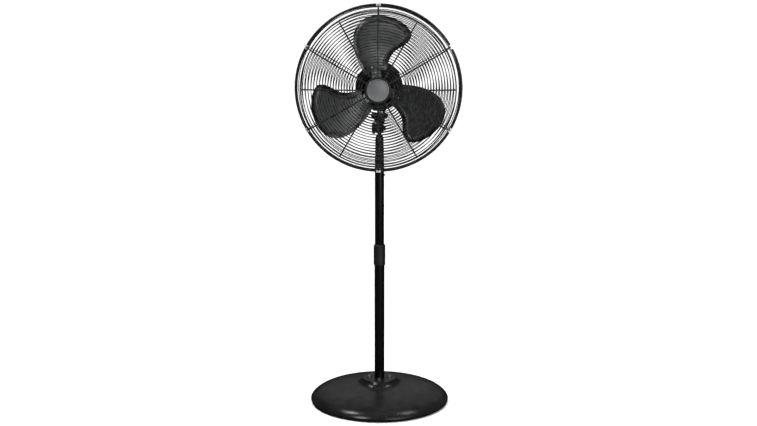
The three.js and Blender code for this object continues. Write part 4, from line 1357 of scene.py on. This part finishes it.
def shade_hem_mesh():
    bm = bmesh.new()
    rows = []
    for n, (across, out) in enumerate(hem_route):
        along = n / (len(hem_route) - 1)
        width = HEM_WIDTH * min(1.0, 0.2 + 8 * min(along, 1 - along))
        edge = blade_point(across, out)
        inside = blade_point(*hem_inner(across, out, width))
        outward = (edge - inside).normalized() * 0.9
        line = [(blade_point(*hem_inner(across, out, width * share)), Vector())
                for share in HEM_SHARES] + [(edge, outward)]
        row = []
        for side, places in ((-1, line), (1, line[::-1])):
            for spot, over in places:
                lift = side * (SHEET / 2 + HEM_THICK) - bead_at(spot)
                row.append(bm.verts.new((spot + over + Vector((0, lift, 0))) * MM))
        rows.append(row)
    for row, following in zip(rows, rows[1:]):
        for k in range(len(row)):
            m = (k + 1) % len(row)
            bm.faces.new((row[k], row[m], following[m], following[k]))
    bm.faces.new(rows[0])
    bm.faces.new(rows[-1])
    bmesh.ops.remove_doubles(bm, verts=bm.verts, dist=0.02 * MM)
    return bm


# Painted shade: each hem is laid in black paint to stand for the dark line where the rolled edge turns away from
# the light.
for i in range(3):
    hem = as_object(f"blade_shade_hem_{i + 1}", shade_hem_mesh(), 40)
    hem.data.transform(third_of_turn(i))
    finished(hem, "rotor", "gloss_black_paint")
print("three hems of", len(hem_route), "stations")

# %% [markdown]
# ## Hub
#
# The hub is a turned boss with three flat arms welded behind the blades. Each blade is
# riveted to its arm, and the round rivet heads catch the light.

# %% Hub and arms
hub = turned_solid("hub_spider", [
    (6.3, -150, 0.4), (14.5, -150, 2), (20, -146, 2), (20, -128, 1), (17, -125, 1),
    (17, -112, 0.8), (6.3, -112, 0.4)], "y", on_axis, 72, True)
ARM_PITCH = Matrix.Rotation(radians(26), 4, "Z") @ Matrix.Rotation(radians(90), 4, "X")
arm_outline = millimetres([(-17, 12), (17, 12), (17, 82), (13.5, 88), (7, 90), (-7, 90),
                           (-13.5, 88), (-17, 82)])
arms = []
for i in range(3):
    arm = bmesh.new()
    add_prism(arm, arm_outline, -1.6 * MM, 1.6 * MM,
              Matrix.Translation((0, -119.6 * MM, 0)) @ ARM_PITCH)
    bmesh.ops.transform(arm, matrix=third_of_turn(i, 10), verts=arm.verts)
    arms.append(as_object("tool", arm))
shaped(hub, arms, "UNION")
shaped(hub, [drum(6.3 * MM, -170 * MM, -100 * MM, "y", on_axis, 48)], "DIFFERENCE")
finished(eased(hub, 0.5 * MM), "rotor", "blade_metal", "blade_hub")

# %% Rivets
RIVET_RADIUS, RIVET_HEIGHT = 4.2, 2.2
rivets = bmesh.new()
rivet_outline = [(0, -2.4), (RIVET_RADIUS * 0.8, -2.4), (RIVET_RADIUS, -0.2)]
rivet_outline += [(RIVET_RADIUS * cos(t), RIVET_HEIGHT * sin(t))
                  for t in [radians(15 * k) for k in range(6)]]
rivet_outline += [(0, RIVET_HEIGHT)]
for i in range(3):
    for radius, aside in ((74, -10), (74, 10), (52, 0)):
        turn_round = radians(100 + 120 * i) - aside / radius
        share = (degrees(radians(100) - aside / radius) - 67.5) / 65.5
        spot = blade_point(share, max(0.0, (radius - BLADE_ROOT) / 172))
        front_y = spot.y - SHEET / 2 if radius > BLADE_ROOT else -121.4 - 0.49 * aside
        made = add_turned(rivets, millimetres(rivet_outline), "z", (0, 0, 0), 24, False)
        spin = Matrix.Rotation(-(turn_round - radians(90)), 4, "Y")
        place = Matrix.Translation((radius * cos(turn_round) * MM, front_y * MM,
                                    axis_height + radius * sin(turn_round) * MM))
        bmesh.ops.transform(rivets, matrix=place @ spin @ ARM_PITCH, verts=made)
finished(as_object("blade_rivets", rivets), "rotor", "plain_steel")

# %% Spinner nut
turned_piece("spinner_cap",
             [(0, -170), (6, -170, 0.8), (10.5, -169.2, 2), (13, -164.5, 2), (13, -152),
              (13, -150.4, 0.6), (6.3, -150.4), (6.3, -163), (0, -163)],
             "rotor", "black_plastic", ["spinner_nut"], "y", on_axis, 96, False,
             wave=lambda turn, along: (-0.6 * MM * (0.5 - 0.5 * cos(14 * turn))
                                       if -165 * MM < along < -150.8 * MM else 0.0))
print("hub, rivets and spinner")

# %% [markdown]
# ## Guards
#
# The cage is welded wire. A heavy hoop forms each rim, twelve ribs run in from the front one,
# and fine rings a finger's width apart are spot-welded across the ribs. Each hoop is a round
# section spun about the motor's axis, and each rib is the same section swept along a curve.

# %% Guard routes
GUARD_RIM = 280
front_rim_y, rear_rim_y = -138.4, -121.6
RIM_WIRE, RIB_WIRE, RING_WIRE = 4.4, 2.4, 1.5
REAR_RIB_WIRE = 1.4
RING_GAP = 9.33
front_route = smooth_line([(38, -205), (120, -201.5), (205, -195), (240, -188), (261, -178),
                           (273, -162), (280, -138.4)], 6)
rear_route = smooth_line([(78, -62), (140, -62), (200, -63), (230, -71), (248, -83),
                          (268, -103), (280, -121.6)], 6)


def route_y(route, radius):
    for (a, low), (b, high) in zip(route, route[1:]):
        if a <= radius <= b:
            return low + (high - low) * (radius - a) / (b - a)
    return route[-1][1]


def route_slope(route, radius):
    """How the route leans at a radius, as a unit vector square to it."""
    rise = route_y(route, min(radius + 2, GUARD_RIM)) - route_y(route, radius - 2)
    run = min(radius + 2, GUARD_RIM) - radius + 2
    length = hypot(rise, run)
    return rise / length, run / length


def add_fine_ring(bm, route, radius, side):
    """One fine ring, laid on the outside of the ribs."""
    rise, run = route_slope(route, radius)
    lift = RIB_WIRE + RING_WIRE * 0.7
    centre_radius = radius - side * rise * lift
    centre_y = route_y(route, radius) + side * run * lift
    section = [((centre_radius + RING_WIRE * cos(2 * pi * k / 6)) * MM,
                (centre_y + RING_WIRE * sin(2 * pi * k / 6)) * MM) for k in range(6)]
    add_turned(bm, section, "y", on_axis, 132)


def rib_points(route, turn, low, high):
    return [(r * cos(turn) * MM, y * MM, axis_height + r * sin(turn) * MM)
            for r, y in route if low <= r <= high]


print("front guard is", abs(front_rim_y + 205), "mm deep")

# %% Front guard
cage = bmesh.new()
add_turned(cage, millimetres(rounded([(0, -206.5), (39, -206.5, 1), (42, -204.6, 1),
                                      (42, -203, 0.5), (0, -203)])), "y", on_axis, 96, False)
add_hoop(cage, GUARD_RIM * MM, RIM_WIRE * MM, (0, front_rim_y * MM, axis_height), 160, 12)
add_hoop(cage, 261 * MM, RIB_WIRE * MM, (0, -178 * MM, axis_height), 160, 10)
for i in range(12):
    outer_end = GUARD_RIM if i % 2 else 261
    add_wire(cage, rib_points(front_route, radians(30 * i), 38, outer_end), RIB_WIRE * MM, 10)
finished(as_object("front_cage", cage), "head", "guard_wire", "front_guard")

rings = bmesh.new()
front_radii = [261 - RING_GAP * k for k in range(1, 23)] + [270.4]
for radius in front_radii:
    add_fine_ring(rings, front_route, radius, -1)
finished(as_object("front_rings", rings), "head", "guard_wire")
print(len(front_radii), "fine rings in front")

# %% Rear guard
cage = bmesh.new()
add_turned(cage, millimetres(rounded([(21, -63, 0.5), (80, -63, 0.8), (82, -62, 0.8),
                                      (82, -60.4, 0.5), (21, -60.4, 0.5)], True)),
           "y", on_axis, 120)
add_hoop(cage, GUARD_RIM * MM, RIM_WIRE * MM, (0, rear_rim_y * MM, axis_height), 160, 12)
for i in range(6):
    turn = radians(60 * i + 30)
    add_wire(cage, rib_points(rear_route, turn, 78, GUARD_RIM), REAR_RIB_WIRE * MM, 10)
finished(as_object("rear_cage", cage), "head", "guard_wire", "rear_guard")

rings = bmesh.new()
rear_radii = [GUARD_RIM - RING_GAP * k for k in range(1, 21)]
for radius in rear_radii:
    add_fine_ring(rings, rear_route, radius, 1)
finished(as_object("rear_rings", rings), "head", "guard_wire")
print(len(rear_radii), "fine rings behind")

# %% [markdown]
# ## Badge
#
# A plain spun-silver disc on a black ring closes the middle of the front guard. Its face is
# slightly domed inside a raised edge and carries no mark of any kind.

# %% Badge
plate_low, plate_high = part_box("badge_plate")
disc_low, disc_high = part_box("badge_disc")
plate_back, plate_front = plate_high.y / MM, plate_low.y / MM
turned_piece("badge_ring",
             [(0, plate_back), (44.2, plate_back, 0.6), (45, plate_back - 1, 0.5),
              (45, plate_back - 3, 1.2), (42, plate_front, 1.2), (39.4, plate_front, 0.4),
              (39, plate_front + 0.6), (0, plate_front + 0.6)],
             "head", "black_plastic", ["badge_plate"], "y", on_axis, 128, False)
disc_back, disc_front = disc_high.y / MM, disc_low.y / MM
turned_piece("badge_face",
             [(0, disc_back), (38, disc_back, 0.2), (38, disc_back - 1.6, 0.8),
              (36.6, disc_front, 0.6), (34.6, disc_front, 0.5), (33.8, disc_front + 0.9, 0.5),
              (20, disc_front + 0.35), (10, disc_front + 0.1), (0, disc_front)],
             "head", "badge_silver", ["badge_disc"], "y", on_axis, 128, False)
print("badge", round(disc_high.x * 2 / MM), "mm across")

# %% [markdown]
# ## Rim clips
#
# Six bright spring clips hold the two rims together. Each is a strip of sheet bent to a
# shallow channel round both hoops, with a notch where the rib passes. The strip's outline is
# drawn with round bends and given its width, then copied round the rim.

# %% Clips
CLIP_WALL, CLIP_WIDTH = 1.6, 15
clip_low, clip_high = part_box("guard_clip_2")
rim_middle = (clip_low.y + clip_high.y) / 2 / MM
half_depth = (clip_high.y - clip_low.y) / 2 / MM
strip = [(275.8, -half_depth + 2.6), (277.2, -half_depth + 1.0), (279, -half_depth + 0.8),
         (282.6, -half_depth + 0.8), (284.2, -half_depth + 1.7), (284.7, -half_depth + 3.6)]
strip = strip + [(r, -y) for r, y in reversed(strip)]
line = smooth_line(strip, 4)


def strip_outline(line, wall):
    left, right = [], []
    for i, spot in enumerate(line):
        ahead = Vector(line[min(i + 1, len(line) - 1)]) - Vector(line[max(i - 1, 0)])
        ahead.normalize()
        square = Vector((-ahead.y, ahead.x)) * wall / 2
        left.append(tuple(Vector(spot) + square))
        right.append(tuple(Vector(spot) - square))
    return left + list(reversed(right))


clip_shape = bmesh.new()
outline = [(r * MM, y * MM) for r, y in strip_outline(line, CLIP_WALL)]
add_prism(clip_shape, outline, -CLIP_WIDTH / 2 * MM, CLIP_WIDTH / 2 * MM,
          Matrix.Translation((0, rim_middle * MM, 0)))
first_clip = as_object("rim_clip", clip_shape)
shaped(first_clip, [block((270 * MM, 281 * MM), (-0.16, -0.1), (-3 * MM, 3 * MM))], "DIFFERENCE")
eased(first_clip, 0.35 * MM)
for i in range(6):
    clip = first_clip                # the sixth is the first shape itself, the others its copies
    if i < 5:
        clip = first_clip.copy()
        clip.data = first_clip.data.copy()
        bpy.context.scene.collection.objects.link(clip)
    clip.data.transform(Matrix.Translation(on_axis)
                        @ Matrix.Rotation(radians(-(60 * i + 30)), 4, "Y"))
    clip.name = f"rim_clip_{i + 1}"
    finished(clip, "head", "bright_steel", f"guard_clip_{i + 1}")
print("six clips,", round(2 * half_depth), "mm deep")

# %% [markdown]
# ## Sizes
#
# The dressed fan must stay the size of its frame, so both boxes are printed side by side.

# %% Print both boxes and finish
visual_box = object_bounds()
for label, (low, high) in (("frame", cad_box), ("dressed", visual_box)):
    print(label, [round(high[i] - low[i], 4) for i in range(3)])
